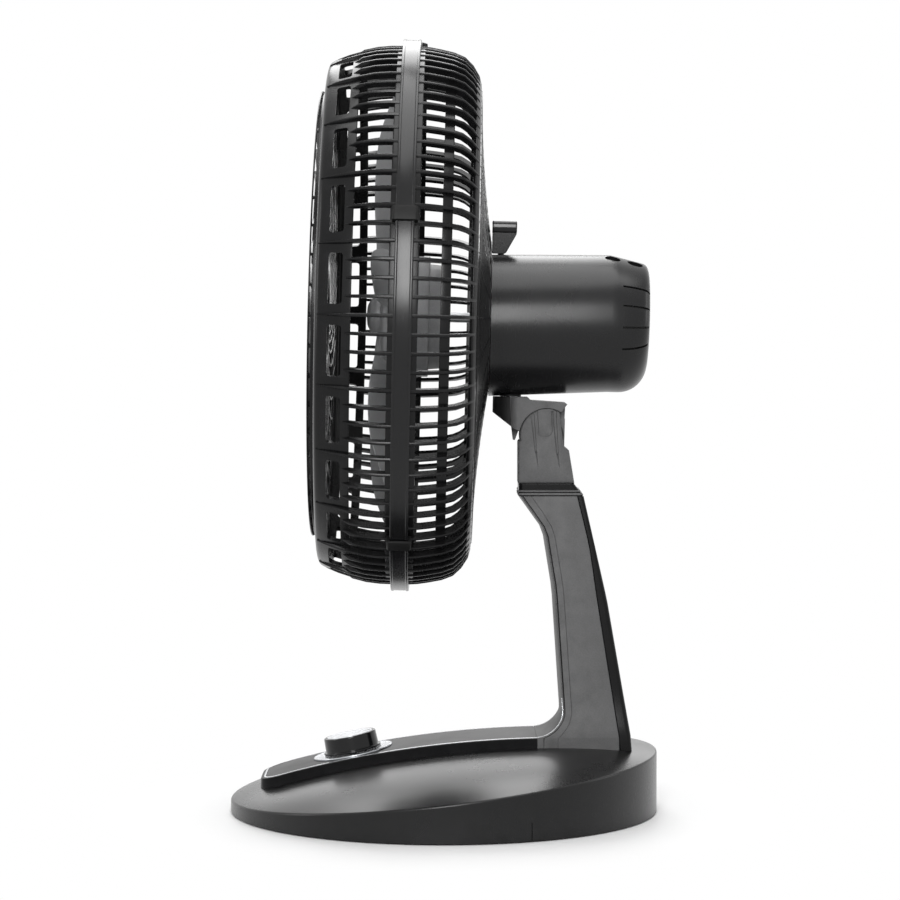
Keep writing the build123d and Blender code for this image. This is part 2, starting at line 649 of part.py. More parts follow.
plate_radius = (HOUSING_TOP - HOUSING_BOTTOM) / 2 - WALL - 2 * SEAT_GAP
plate_height = (HOUSING_TOP + HOUSING_BOTTOM) / 2
plate_front = HOUSING_FRONT + 0.4
plate_thickness = 3.0
collar_length = 11.4
screw_circle = 45.0
bearing_radius = 11.0
bearing_width = 7.0
bearing_seat_wall = 2.2
bearing_front_station = plate_front + plate_thickness
screw_angles = [radians(a) for a in (45, 135, 225, 315)]
screw_places = [(cos(a) * screw_circle, plate_height + sin(a) * screw_circle) for a in screw_angles]
with BuildPart() as housing_front_plate:
    with BuildSketch(HEAD.offset(plate_front)):
        with Locations((0, plate_height)):
            Circle(plate_radius)
        Circle(SHAFT_RADIUS + 2.0, mode=Mode.SUBTRACT)
        with Locations(*screw_places):
            Circle(SCREW_RADIUS + RUNNING_GAP, mode=Mode.SUBTRACT)
    extrude(amount=plate_thickness)
    with BuildSketch(HEAD.offset(plate_front - collar_length)):
        Circle(COLLAR_RADIUS)
        Circle(COLLAR_RADIUS - 5.0, mode=Mode.SUBTRACT)
    extrude(amount=collar_length + 0.2)
    with BuildSketch(HEAD.offset(bearing_front_station)):
        Circle(bearing_radius + bearing_seat_wall)
        Circle(bearing_radius + RUNNING_GAP, mode=Mode.SUBTRACT)
    extrude(amount=bearing_width)

nut_depth = 6.0
nut_front = rear_plate_front - SEAT_GAP - nut_depth
nut_rim = COLLAR_RADIUS + 8.0
with BuildPart() as cage_nut:
    with BuildSketch(HEAD.offset(nut_front)):
        Circle(nut_rim)
        Circle(COLLAR_RADIUS + SEAT_GAP, mode=Mode.SUBTRACT)
    extrude(amount=nut_depth)
    with BuildSketch(HEAD.offset(nut_front)):
        with PolarLocations(nut_rim + 1.5, 6):
            Circle(4.0)
        Circle(COLLAR_RADIUS + SEAT_GAP, mode=Mode.SUBTRACT)
    extrude(amount=nut_depth)


def bearing_ring(station):
    """A ball bearing drawn as its outer form, with shallow shield grooves."""
    with BuildPart() as bearing:
        with BuildSketch(HEAD.offset(station)):
            Circle(bearing_radius)
            Circle(SHAFT_RADIUS + RUNNING_GAP, mode=Mode.SUBTRACT)
        extrude(amount=bearing_width)
        for face_at in (station, station + bearing_width - 0.4):
            with BuildSketch(HEAD.offset(face_at)):
                Circle(bearing_radius - 2.0)
                Circle(SHAFT_RADIUS + 2.0, mode=Mode.SUBTRACT)
            extrude(amount=0.4, mode=Mode.SUBTRACT)
    return bearing


bearing_rear_station = SHAFT_REAR - bearing_width - 2.0
bearing_front = bearing_ring(bearing_front_station + SEAT_GAP)
bearing_rear = bearing_ring(bearing_rear_station)

bolt_circle = STACK_RADIUS - SCREW_RADIUS - 0.9
bolt_places = [(cos(radians(a)) * bolt_circle, sin(radians(a)) * bolt_circle) for a in (0, 90, 180, 270)]
with BuildPart() as rear_bracket:
    with BuildSketch(HEAD.offset(bearing_rear_station - 2.2)):
        Circle(bolt_circle + 6.0)
        Circle(bearing_radius - 2.0, mode=Mode.SUBTRACT)
        with Locations(*bolt_places):
            Circle(SCREW_RADIUS + RUNNING_GAP, mode=Mode.SUBTRACT)
    extrude(amount=2.0)
    with BuildSketch(HEAD.offset(bearing_rear_station - 0.2)):
        Circle(bearing_radius + 2.5)
        Circle(bearing_radius + RUNNING_GAP, mode=Mode.SUBTRACT)
    extrude(amount=bearing_width)

with BuildPart() as stator_core:
    with BuildSketch(HEAD.offset(STACK_FRONT)):
        Circle(STACK_RADIUS)
        Circle(STATOR_BORE, mode=Mode.SUBTRACT)
        with PolarLocations((STATOR_BORE + STACK_RADIUS) / 2 - 2.0, 16, start_angle=11.25):
            RectangleRounded(8.0, 3.6, 1.2, mode=Mode.SUBTRACT)
        with Locations(*bolt_places):
            Circle(SCREW_RADIUS + RUNNING_GAP, mode=Mode.SUBTRACT)
    extrude(amount=STACK_LENGTH)

with BuildPart() as stator_windings:
    for station in (STACK_FRONT - WINDING_LENGTH - SEAT_GAP, STACK_FRONT + STACK_LENGTH + SEAT_GAP):
        with BuildSketch(HEAD_SIDE):
            with Locations((station + WINDING_LENGTH / 2, (STATOR_BORE + STACK_RADIUS) / 2 - 2.4)):
                RectangleRounded(WINDING_LENGTH, 9.2, 3.0)
        revolve(axis=HEAD_AXIS)

bolt_head = 2.0
with BuildPart() as motor_bolts:
    with BuildSketch(HEAD.offset(STACK_FRONT + 1.0)):
        with Locations(*bolt_places):
            Circle(SCREW_RADIUS)
    extrude(amount=bearing_rear_station - STACK_FRONT - 1.0)
    with BuildSketch(HEAD.offset(bearing_rear_station)):
        with Locations(*bolt_places):
            Circle(2 * SCREW_RADIUS)
    extrude(amount=bolt_head)

with BuildPart() as plate_screws:
    with BuildSketch(HEAD.offset(plate_front - 0.2)):
        with Locations(*screw_places):
            Circle(SCREW_RADIUS)
    extrude(amount=plate_thickness + 4.0)

# ---------- gearbox: worm, wheel, clutch spindle, crank and link ----------

case_wall = 2.0
case_front = bearing_front_station + bearing_width + 1.0
case_rear = CRANK_STATION - 1.0
case_left = SPINDLE_X - 15.0
case_right = 10.0
case_top = 26.0
case_bottom = -25.0
crank_x = SPINDLE_X + 11.75
with BuildPart() as gearbox_case:
    with BuildSketch(HEAD_PLAN.offset(case_bottom)):
        with Locations(((case_left + case_right) / 2, (case_front + case_rear) / 2)):
            Rectangle(case_right - case_left, case_rear - case_front)
    extrude(amount=case_top - case_bottom)
    with BuildSketch(HEAD_PLAN.offset(case_bottom + case_wall)):
        with Locations(((case_left + case_right) / 2, (case_front + case_rear) / 2 - case_wall)):
            Rectangle(case_right - case_left - 2 * case_wall, case_rear - case_front)
    extrude(amount=case_top - case_bottom - 2 * case_wall, mode=Mode.SUBTRACT)
    with BuildSketch(HEAD_PLAN.offset(case_bottom)):
        with Locations(((case_left + case_right) / 2, (case_front + CRANK_STATION + 7.0) / 2)):
            Rectangle(case_right - case_left, CRANK_STATION + 7.0 - case_front)
    extrude(amount=case_wall)
    with BuildSketch(HEAD_PLAN.offset(case_bottom)):
        with Locations((SPINDLE_X, WORM_STATION), (crank_x, CRANK_STATION)):
            Circle(SPINDLE_RADIUS + RUNNING_GAP)
    extrude(amount=case_wall, mode=Mode.SUBTRACT)
    with BuildSketch(HEAD.offset(case_rear - 2 * case_wall)):
        Circle(WORM_RADIUS + MOVE_GAP)
    extrude(amount=4 * case_wall, mode=Mode.SUBTRACT)

wheel_radius = -SPINDLE_X - WORM_RADIUS - MOVE_GAP
with BuildPart() as worm_wheel:
    with BuildSketch(HEAD_PLAN.offset(-WHEEL_THICKNESS / 2)):
        with Locations((SPINDLE_X, WORM_STATION)):
            Circle(wheel_radius)
            Circle(SPINDLE_RADIUS + RUNNING_GAP, mode=Mode.SUBTRACT)
            with PolarLocations(wheel_radius, WHEEL_TEETH):
                Rectangle(3 * TOOTH_NOTCH, pi * wheel_radius / WHEEL_TEETH, mode=Mode.SUBTRACT)
    extrude(amount=WHEEL_THICKNESS)

gear_top = case_bottom - 2.6
fork_bottom = bearing_radius + bearing_seat_wall + MOVE_GAP
spindle_top = fork_bottom - 1.0
with BuildPart() as clutch_spindle:
    with BuildSketch(HEAD_PLAN.offset(gear_top - GEAR_THICKNESS)):
        with Locations((SPINDLE_X, WORM_STATION)):
            Circle(SPINDLE_RADIUS)
    extrude(amount=spindle_top - gear_top + GEAR_THICKNESS)
    with BuildSketch(HEAD_PLAN.offset(WHEEL_THICKNESS / 2 + MOVE_GAP)):
        with Locations((SPINDLE_X, WORM_STATION)):
            Circle(2 * SPINDLE_RADIUS)
    extrude(amount=4.0)
    with BuildSketch(HEAD_PLAN.offset(gear_top - GEAR_THICKNESS)):
        with Locations((SPINDLE_X, WORM_STATION)):
            Circle(PINION_RADIUS)
            with PolarLocations(PINION_RADIUS, 9):
                Circle(TOOTH_NOTCH, mode=Mode.SUBTRACT)
    extrude(amount=GEAR_THICKNESS)

crank_distance = hypot(crank_x - SPINDLE_X, CRANK_STATION - WORM_STATION)
crank_gear_radius = crank_distance - PINION_RADIUS - MOVE_GAP
crank_pin_x = crank_x - CRANK_THROW
link_thickness = 2.5
link_top = gear_top - GEAR_THICKNESS - 1.0
pin_bottom = link_top - link_thickness - 1.0
with BuildPart() as crank_gear:
    with BuildSketch(HEAD_PLAN.offset(gear_top - GEAR_THICKNESS)):
        with Locations((crank_x, CRANK_STATION)):
            Circle(crank_gear_radius)
            with PolarLocations(crank_gear_radius, 28):
                Circle(TOOTH_NOTCH, mode=Mode.SUBTRACT)
    extrude(amount=GEAR_THICKNESS)
    with BuildSketch(HEAD_PLAN.offset(gear_top)):
        with Locations((crank_x, CRANK_STATION)):
            Circle(SPINDLE_RADIUS)
    extrude(amount=case_bottom + case_wall - gear_top)
    with BuildSketch(HEAD_PLAN.offset(pin_bottom)):
        with Locations((crank_pin_x, CRANK_STATION)):
            Circle(PIN_RADIUS)
    extrude(amount=gear_top - GEAR_THICKNESS - pin_bottom)

# the link's front eye is open, as long and wide as the pin wanders in it when the turn ratio is constant
rocker_reach = CRANK_THROW * sin(radians(2 * OSC_RANGE)) / sin(radians(OSC_RANGE))
wander = CRANK_THROW * (1 - cos(radians(2 * OSC_RANGE))) - rocker_reach * (1 - cos(radians(OSC_RANGE)))
sway = CRANK_THROW * sin(radians(OSC_RANGE)) - rocker_reach * sin(radians(OSC_RANGE / 2))
rocker_x = crank_pin_x
eye_half_length = wander / 2 + PIN_RADIUS + MOVE_GAP
eye_half_width = sway + PIN_RADIUS + MOVE_GAP
eye_x = rocker_x - wander / 2
with BuildPart() as link_arm:
    with BuildSketch(HEAD_PLAN.offset(link_top - link_thickness)):
        with Locations((eye_x, OSC_STATION)):
            RectangleRounded(2 * eye_half_length + 5.0, 2 * eye_half_width + 5.0, eye_half_width)
        with Locations((crank_pin_x, CRANK_STATION)):
            Circle(PIN_RADIUS + 2.5)
        with Locations((crank_pin_x, (OSC_STATION + CRANK_STATION) / 2 + 2.0)):
            Rectangle(6.0, CRANK_STATION - OSC_STATION - 5.0)
        with Locations((eye_x, OSC_STATION)):
            RectangleRounded(2 * eye_half_length, 2 * eye_half_width, eye_half_width - 0.1,
                             mode=Mode.SUBTRACT)
        with Locations((crank_pin_x, CRANK_STATION)):
            Circle(PIN_RADIUS + RUNNING_GAP, mode=Mode.SUBTRACT)
    extrude(amount=link_thickness)

# ---------- oscillation knob ----------

knob_front = KNOB_STATION - KNOB_LENGTH / 2
knob_rear = KNOB_STATION + KNOB_LENGTH / 2
knob_bottom = HOUSING_TOP + 0.7
with BuildPart() as oscillation_knob:
    with BuildSketch(HEAD_SIDE):
        Polygon((knob_front, KNOB_TOP - KNOB_BAR / 2), (knob_rear, KNOB_TOP - KNOB_BAR / 2),
                (knob_rear, KNOB_TOP - KNOB_BAR), (KNOB_STATION + 0.5, knob_bottom),
                (knob_front, knob_bottom), align=None)
    extrude(amount=KNOB_WIDTH / 2 - 1.4, both=True)
    with BuildSketch(HEAD.offset(knob_front)):
        with Locations((0, KNOB_TOP - KNOB_BAR / 2)):
            RectangleRounded(KNOB_WIDTH, KNOB_BAR, KNOB_BAR / 2 - 0.3)
    extrude(amount=KNOB_LENGTH)
    with BuildSketch(HEAD_PLAN.offset(fork_bottom)):
        with Locations((0, KNOB_STEM_STATION)):
            Circle(KNOB_STEM_RADIUS)
    extrude(amount=knob_bottom - fork_bottom + WALL)

fork_length = hypot(SPINDLE_X, WORM_STATION - KNOB_STEM_STATION)
fork_angle = 180 - degrees(asin((WORM_STATION - KNOB_STEM_STATION) / fork_length))
fork_middle = (SPINDLE_X / 2, (WORM_STATION + KNOB_STEM_STATION) / 2)
with BuildPart() as shift_fork:
    with BuildSketch(HEAD_PLAN.offset(fork_bottom)):
        with Locations(Location((*fork_middle, 0), (0, 0, fork_angle))):
            SlotCenterToCenter(fork_length, 7.0)
        with Locations((0, KNOB_STEM_STATION)):
            Circle(KNOB_STEM_RADIUS + 0.02, mode=Mode.SUBTRACT)
    extrude(amount=2.0)

# ---------- swivel: sleeve in the housing, stud and rocker on the bracket ----------

sleeve_top = pin_bottom - 4.2
sleeve_bottom = HOUSING_BOTTOM + 0.3
with BuildPart() as swivel_sleeve:
    with BuildSketch(HEAD_PLAN.offset(sleeve_bottom)):
        with Locations((0, OSC_STATION)):
            Circle(sleeve_outer)
    extrude(amount=sleeve_top - sleeve_bottom)
    with BuildSketch(HEAD_PLAN.offset(HOUSING_BOTTOM + WALL + 3.2)):
        with Locations((0, OSC_STATION)):
            Circle(sleeve_outer + 3.5)
    extrude(amount=2.0)
    with BuildSketch(HEAD_PLAN.offset(sleeve_bottom)):
        with Locations((0, OSC_STATION)):
            Circle(STUD_RADIUS + RUNNING_GAP)
    extrude(amount=sleeve_top - sleeve_bottom, mode=Mode.SUBTRACT)

boss_radius = 14.0
boss_top = HOUSING_BOTTOM - 0.1
rocker_bottom = sleeve_top + MOVE_GAP
with BuildPart() as swivel_stud:
    with BuildSketch(HEAD_PLAN.offset(boss_top)):
        with Locations((0, OSC_STATION)):
            Circle(STUD_RADIUS)
    extrude(amount=rocker_bottom - boss_top)
    with BuildSketch(HEAD_PLAN.offset(rocker_bottom)):
        with Locations((0, OSC_STATION)):
            Circle(STUD_RADIUS + 2.0)
        with Locations((rocker_x, OSC_STATION)):
            Circle(PIN_RADIUS + 2.0)
        with Locations((rocker_x / 2, OSC_STATION)):
            Rectangle(-rocker_x, 2 * PIN_RADIUS + 3.0)
    extrude(amount=3.0)
    with BuildSketch(HEAD_PLAN.offset(rocker_bottom)):
        with Locations((rocker_x, OSC_STATION)):
            Circle(PIN_RADIUS)
    extrude(amount=link_top - rocker_bottom)

# ---------- tilt bracket ----------

boss_level = AXIS_ABOVE_PIVOT + boss_top
boss_back = OSC_STATION - BAND_AHEAD_OF_PIVOT
dome_gap = NECK_RADIUS + MOVE_GAP
bracket_rear = 14.4      # the bracket's rear edge, behind the pivot
lip_depth = 4.2          # the tongue's front lip reaches this far below the pivot
bracket_outline = [
    (boss_back - boss_radius, boss_level),
    (boss_back + boss_radius, boss_level),
    (boss_back + boss_radius + 2.4, boss_level - 2.4),
    (bracket_rear, boss_level - 3.6),
    (bracket_rear + 1.2, boss_level - 4.6),
    (dome_gap / 2, dome_gap * cos(radians(30))),
    (0, 0),
    (0, 3.6),
    (-dome_gap, 3.8),
    (-dome_gap - 3.6, 4.6),
    (-dome_gap - 6.2, 6.4),
    (boss_back - boss_radius, 17.6),
]
tongue_radius = NECK_RADIUS - 1.8
tongue_outline = [
    (-dome_gap - 6.2, 6.4),
    (-dome_gap - 4.6, -lip_depth),
    (-dome_gap - 3.1, -lip_depth),
    (-dome_gap - 0.6, 3.0),
    (0, 3.0),
    (0, -tongue_radius / 2),
    (bracket_rear - 1.0, -tongue_radius / 2),
    (bracket_rear, boss_level - 4.0),
    (-dome_gap, boss_level - 5.0),
]
with BuildPart() as tilt_bracket:
    with BuildSketch(TILT_SIDE):
        Polygon(*bracket_outline, align=None)
        Circle(dome_gap, mode=Mode.SUBTRACT)
    extrude(amount=NECK_HALF_WIDTH - 1.5, both=True)
    with BuildSketch(HEAD_PLAN.offset(boss_top)):
        with Locations((0, OSC_STATION)):
            Circle(boss_radius)
        with Locations((0, OSC_STATION + 2 * boss_radius)):
            RectangleRounded(2 * NECK_HALF_WIDTH - 3.0, 4 * boss_radius, 6.0)
    extrude(amount=-2 * boss_level, mode=Mode.INTERSECT)
    with BuildSketch(TILT_SIDE):
        Circle(tongue_radius)
        with Locations((bracket_rear + tongue_radius, 0)):
            Rectangle(2 * tongue_radius, 2 * tongue_radius, mode=Mode.SUBTRACT)
        Polygon(*tongue_outline, align=None)
    extrude(amount=TONGUE_HALF_WIDTH, both=True)
    with BuildSketch(TILT_SIDE):
        Circle(TILT_BOLT_RADIUS + RUNNING_GAP)
    extrude(amount=NECK_HALF_WIDTH, both=True, mode=Mode.SUBTRACT)

# ---------- neck ----------

ear_inner = TONGUE_HALF_WIDTH + WASHER_THICKNESS + 2 * SEAT_GAP
neck_front = PIVOT_Y - 22.8
neck_corner = PIVOT_Z - 5.0          # top of the neck's front edge, clear of the bracket's lip
dome_edge = (9.8, 19.2)              # from here down the dome is cut off at the rear
dome_foot = (13.1, -8.0)
neck_outline = [
    (neck_front, COLLAR_TOP + SEAT_GAP),
    (neck_front, neck_corner),
    (PIVOT_Y - 12.0, PIVOT_Z + 6.0),
    (PIVOT_Y + dome_edge[0] - 1.0, PIVOT_Z + dome_edge[1] - 4.0),
    (PIVOT_Y + dome_foot[0], PIVOT_Z + dome_foot[1]),
    (PIVOT_Y + 17.6, PIVOT_Z - 11.6),
    (PIVOT_Y + 21.9, COLLAR_TOP + SEAT_GAP),
]
dome_cut = [
    (2 * dome_edge[0] - dome_foot[0], 2 * dome_edge[1] - dome_foot[1]),
    dome_foot,
    (dome_foot[0], -2 * NECK_RADIUS),
    (2 * NECK_RADIUS, -2 * NECK_RADIUS),
    (2 * NECK_RADIUS, 2 * NECK_RADIUS),
]
bolt_head_radius = 6.0
bolt_head_depth = 5.0
nut_width = 10.0
nut_thickness = 4.5
with BuildPart() as neck_head:
    with BuildSketch(Plane.YZ):
        with Locations((PIVOT_Y, PIVOT_Z)):
            Circle(NECK_RADIUS)
            Polygon(*dome_cut, align=None, mode=Mode.SUBTRACT)
        Polygon(*neck_outline, align=None)
    extrude(amount=NECK_HALF_WIDTH, both=True)
    fillet(neck_head.faces().sort_by(Axis.X)[-1].edges() + neck_head.faces().sort_by(Axis.X)[0].edges(), 1.6)
    with BuildSketch(Plane.YZ):
        with Locations((PIVOT_Y, PIVOT_Z)):
            Circle(tongue_radius + MOVE_GAP)
            with Locations((0, NECK_RADIUS + neck_corner - PIVOT_Z)):
                Rectangle(4 * NECK_RADIUS, 2 * NECK_RADIUS)
    extrude(amount=ear_inner, both=True, mode=Mode.SUBTRACT)
    with BuildSketch(Plane.YZ.offset(-NECK_HALF_WIDTH)):
        with Locations((PIVOT_Y, PIVOT_Z)):
            Circle(TILT_BOLT_RADIUS + RUNNING_GAP)
    extrude(amount=2 * NECK_HALF_WIDTH - 4.0, mode=Mode.SUBTRACT)
    with BuildSketch(Plane.YZ.offset(-NECK_HALF_WIDTH)):
        with Locations((PIVOT_Y, PIVOT_Z)):
            Circle(bolt_head_radius + SEAT_GAP)
    extrude(amount=bolt_head_depth, mode=Mode.SUBTRACT)
    with BuildSketch(Plane.YZ.offset(ear_inner)):
        with Locations((PIVOT_Y, PIVOT_Z)):
            RegularPolygon(nut_width / 2 + SEAT_GAP, 6, major_radius=False)
    extrude(amount=nut_thickness + SEAT_GAP, mode=Mode.SUBTRACT)

with BuildPart() as tilt_bolt:
    with BuildSketch(Plane.YZ.offset(-NECK_HALF_WIDTH + 0.6)):
        with Locations((PIVOT_Y, PIVOT_Z)):
            Circle(bolt_head_radius)
            SlotOverall(8.0, 1.4, mode=Mode.SUBTRACT)
    extrude(amount=bolt_head_depth - 0.8)
    with BuildSketch(Plane.YZ.offset(-NECK_HALF_WIDTH + 2.6)):
        with Locations((PIVOT_Y, PIVOT_Z)):
            Circle(TILT_BOLT_RADIUS)
    extrude(amount=2 * NECK_HALF_WIDTH - 7.6)

with BuildPart() as tilt_nut:
    with BuildSketch(Plane.YZ.offset(ear_inner + SEAT_GAP / 2)):
        with Locations((PIVOT_Y, PIVOT_Z)):
            RegularPolygon(nut_width / 2, 6, major_radius=False)
            Circle(TILT_BOLT_RADIUS + 0.02, mode=Mode.SUBTRACT)
    extrude(amount=nut_thickness)

with BuildPart() as tilt_washers:
    for washer_at in (TONGUE_HALF_WIDTH + SEAT_GAP, -TONGUE_HALF_WIDTH - SEAT_GAP - WASHER_THICKNESS):
        with BuildSketch(Plane.YZ.offset(washer_at)):
            with Locations((PIVOT_Y, PIVOT_Z)):
                Circle(tongue_radius - 6.0)
                Circle(TILT_BOLT_RADIUS + 0.02, mode=Mode.SUBTRACT)
        extrude(amount=WASHER_THICKNESS)

with BuildPart() as neck_collar:
    with BuildSketch(Plane.YZ):
        Polygon((neck_front - 0.6, COLLAR_BOTTOM), (neck_front - 0.6, COLLAR_TOP),
                (PIVOT_Y + 22.6, COLLAR_TOP), (PIVOT_Y + 26.6, COLLAR_TOP - 5.0),
                (PIVOT_Y + 29.8, COLLAR_BOTTOM), align=None)
    extrude(amount=COLLAR_HALF_WIDTH, both=True)
    collar_sides = neck_collar.faces().sort_by(Axis.X)
    fillet(collar_sides[-1].edges() + collar_sides[0].edges(), 1.2)

# ---------- base form ----------

rim_plane = Plane(origin=(0, 0, RIM_HEIGHT), x_dir=(1, 0, 0),
                  z_dir=(0, -sin(radians(RIM_SLOPE)), cos(radians(RIM_SLOPE))))
rim_side = Plane(origin=(0, 0, RIM_HEIGHT), x_dir=(0, cos(radians(RIM_SLOPE)), sin(radians(RIM_SLOPE))),
                 z_dir=(1, 0, 0))
rim_axis = Axis(rim_plane.origin, rim_plane.z_dir)
dish_radius = BASE_RADIUS + 12.0


def dished_form(rise, radius, bottom=BASE_CLEARANCE):
    """The base's dished form, raised by an amount and cut to an upright cylinder."""
    with BuildPart() as form:
        with BuildSketch(rim_side):
            with BuildLine():
                crown = ThreePointArc(
                    (0, CROWN_HEIGHT + rise),
                    (SHOULDER_RADIUS / 2, CROWN_HEIGHT + rise - (CROWN_HEIGHT - SHOULDER_HEIGHT) / 4),
                    (SHOULDER_RADIUS, SHOULDER_HEIGHT + rise))
                TangentArc((SHOULDER_RADIUS, SHOULDER_HEIGHT + rise), (dish_radius, rise - DISH_END_DROP),
                           tangent=crown % 1)
                Polyline((dish_radius, rise - DISH_END_DROP), (dish_radius, -90.0), (0, -90.0),
                         (0, CROWN_HEIGHT + rise))
            make_face()
        revolve(axis=rim_axis)
        with BuildSketch(Plane.XY.offset(bottom)):
            Circle(radius)
        extrude(amount=4 * CROWN_HEIGHT, mode=Mode.INTERSECT)
    return form.part


base_form = dished_form(0, BASE_RADIUS)

# the dial stands square to the strip's top
crown_drop = CROWN_HEIGHT - SHOULDER_HEIGHT
crown_bend = (SHOULDER_RADIUS**2 + crown_drop**2) / (2 * crown_drop)
dial_along = DIAL_Y / cos(radians(RIM_SLOPE)) + 3.0
dial_rise = CROWN_HEIGHT + STRIP_HEIGHT - crown_bend + sqrt(crown_bend**2 - dial_along**2)
dial_point = Vector(0, DIAL_Y, rim_side.from_local_coords(Vector(dial_along, dial_rise, 0)).Z)
dial_up = (0, -sin(radians(DIAL_LEAN)), cos(radians(DIAL_LEAN)))
DIAL = Plane(origin=dial_point, x_dir=(1, 0, 0), z_dir=dial_up)

boss_places = [(BOSS_CIRCLE * cos(radians(a)), BOSS_CIRCLE * sin(radians(a))) for a in (45, 135, 225, 315)]
with BuildPart() as base_bosses:
    with BuildSketch(Plane.XY.offset(PLATE_BOTTOM + PLATE_THICKNESS + SEAT_GAP)):
        with Locations(*boss_places):
            Circle(BOSS_RADIUS)
    extrude(amount=4 * CROWN_HEIGHT)
    add(dished_form(-WALL / 2, BASE_RADIUS - WALL / 2), mode=Mode.INTERSECT)

with BuildPart() as base_shell:
    add(base_form)
    add(dished_form(-WALL, BASE_RADIUS - WALL, 0), mode=Mode.SUBTRACT)
    add(base_bosses.part)
    with BuildSketch(Plane.XY.offset(0)):
        with Locations(*boss_places):
            Circle(SCREW_RADIUS - 0.3)
    extrude(amount=14.0, mode=Mode.SUBTRACT)
    with BuildSketch(DIAL.offset(-6 * WALL)):
        Circle(SWITCH_SHAFT_RADIUS + 2.0)
    extrude(amount=8 * WALL, mode=Mode.SUBTRACT)
    with BuildSketch(Plane.XZ.offset(-BASE_RADIUS - 1.0)):
        with Locations((0, GLAND_HEIGHT)):
            Circle(GLAND_RADIUS + RUNNING_GAP)
    extrude(amount=4 * WALL, mode=Mode.SUBTRACT)
    with BuildSketch(Plane.XY.offset(CROWN_HEIGHT)):
        with Locations((0, WIRE_HOLE_Y)):
            Circle(WIRE_HOLE_RADIUS)
    extrude(amount=2 * CROWN_HEIGHT, mode=Mode.SUBTRACT)

foot_angles = [-90 + n * 360 / FOOT_COUNT for n in range(FOOT_COUNT)]
foot_places = [(FOOT_CIRCLE * cos(radians(a)), FOOT_CIRCLE * sin(radians(a))) for a in foot_angles]
with BuildPart() as base_bottom_plate:
    with BuildSketch(Plane.XY.offset(PLATE_BOTTOM)):
        Circle(BASE_RADIUS - WALL - SEAT_GAP)
        with Locations(*boss_places):
            Circle(SCREW_RADIUS + RUNNING_GAP, mode=Mode.SUBTRACT)
    extrude(amount=PLATE_THICKNESS)
    with BuildSketch(Plane.XY.offset(PLATE_BOTTOM)):
        with Locations(*foot_places):
            Circle(FOOT_RADIUS + SEAT_GAP)
    extrude(amount=1.0, mode=Mode.SUBTRACT)

with BuildPart() as rubber_feet:
    with BuildSketch():
        with Locations(*foot_places):
            Circle(FOOT_RADIUS)
    extrude(amount=PLATE_BOTTOM + 1.0 - SEAT_GAP)

with BuildPart() as base_screws:
    with BuildSketch(Plane.XY.offset(PLATE_BOTTOM - 1.2)):
        with Locations(*boss_places):
            Circle(2 * SCREW_RADIUS)
    extrude(amount=1.1)
    with BuildSketch(Plane.XY.offset(PLATE_BOTTOM - 0.1)):
        with Locations(*boss_places):
            Circle(SCREW_RADIUS - 0.35)
    extrude(amount=11.0)

# ---------- control strip, trim line and dial ----------


def strip_plan(inset):
    """The strip's outline in plan, moved inwards by an inset, running back to the column's toe."""
    half = STRIP_HALF_WIDTH - inset
    front = STRIP_FRONT + inset
    length = COLUMN_TOE - SEAT_GAP - front
    with BuildSketch() as plan:
        with Locations((0, front + length / 2 + STRIP_CORNER / 2)):
            Rectangle(2 * half, length - STRIP_CORNER)
        with Locations((0, front + STRIP_CORNER)):
            RectangleRounded(2 * half, 2 * STRIP_CORNER, STRIP_CORNER - inset - 0.01)
    return plan.sketch


with BuildPart() as trim_form:
    with BuildSketch():
        add(strip_plan(TRIM_INSET))
        add(strip_plan(TRIM_INSET + TRIM_WIDTH), mode=Mode.SUBTRACT)
    extrude(amount=4 * CROWN_HEIGHT)

with BuildPart() as strip_trim:
    add(dished_form(STRIP_HEIGHT + TRIM_PROUD, BASE_RADIUS))
    add(dished_form(STRIP_HEIGHT - TRIM_DEPTH, BASE_RADIUS + 1.0, 0), mode=Mode.SUBTRACT)
    add(trim_form.part, mode=Mode.INTERSECT)

with BuildPart() as control_strip:
    with BuildSketch():
        add(strip_plan(0))
    extrude(amount=4 * CROWN_HEIGHT)
    add(dished_form(STRIP_HEIGHT, BASE_RADIUS), mode=Mode.INTERSECT)
    add(dished_form(0.02, BASE_RADIUS + 1.0, 0), mode=Mode.SUBTRACT)
    add(strip_trim.part, mode=Mode.SUBTRACT)
    with BuildSketch(DIAL.offset(BEZEL_PROUD - BEZEL_THICKNESS - SEAT_GAP)):
        Circle(BEZEL_RADIUS + SEAT_GAP)
    extrude(amount=4 * BEZEL_THICKNESS, mode=Mode.SUBTRACT)
    with BuildSketch(DIAL.offset(-6 * WALL)):
        Circle(SWITCH_SHAFT_RADIUS + 2.0)
    extrude(amount=8 * WALL, mode=Mode.SUBTRACT)

with BuildPart() as knob_bezel:
    with BuildSketch(DIAL.offset(BEZEL_PROUD - BEZEL_THICKNESS)):
        Circle(BEZEL_RADIUS)
        Circle(SWITCH_SHAFT_RADIUS + 1.0, mode=Mode.SUBTRACT)
    extrude(amount=BEZEL_THICKNESS)

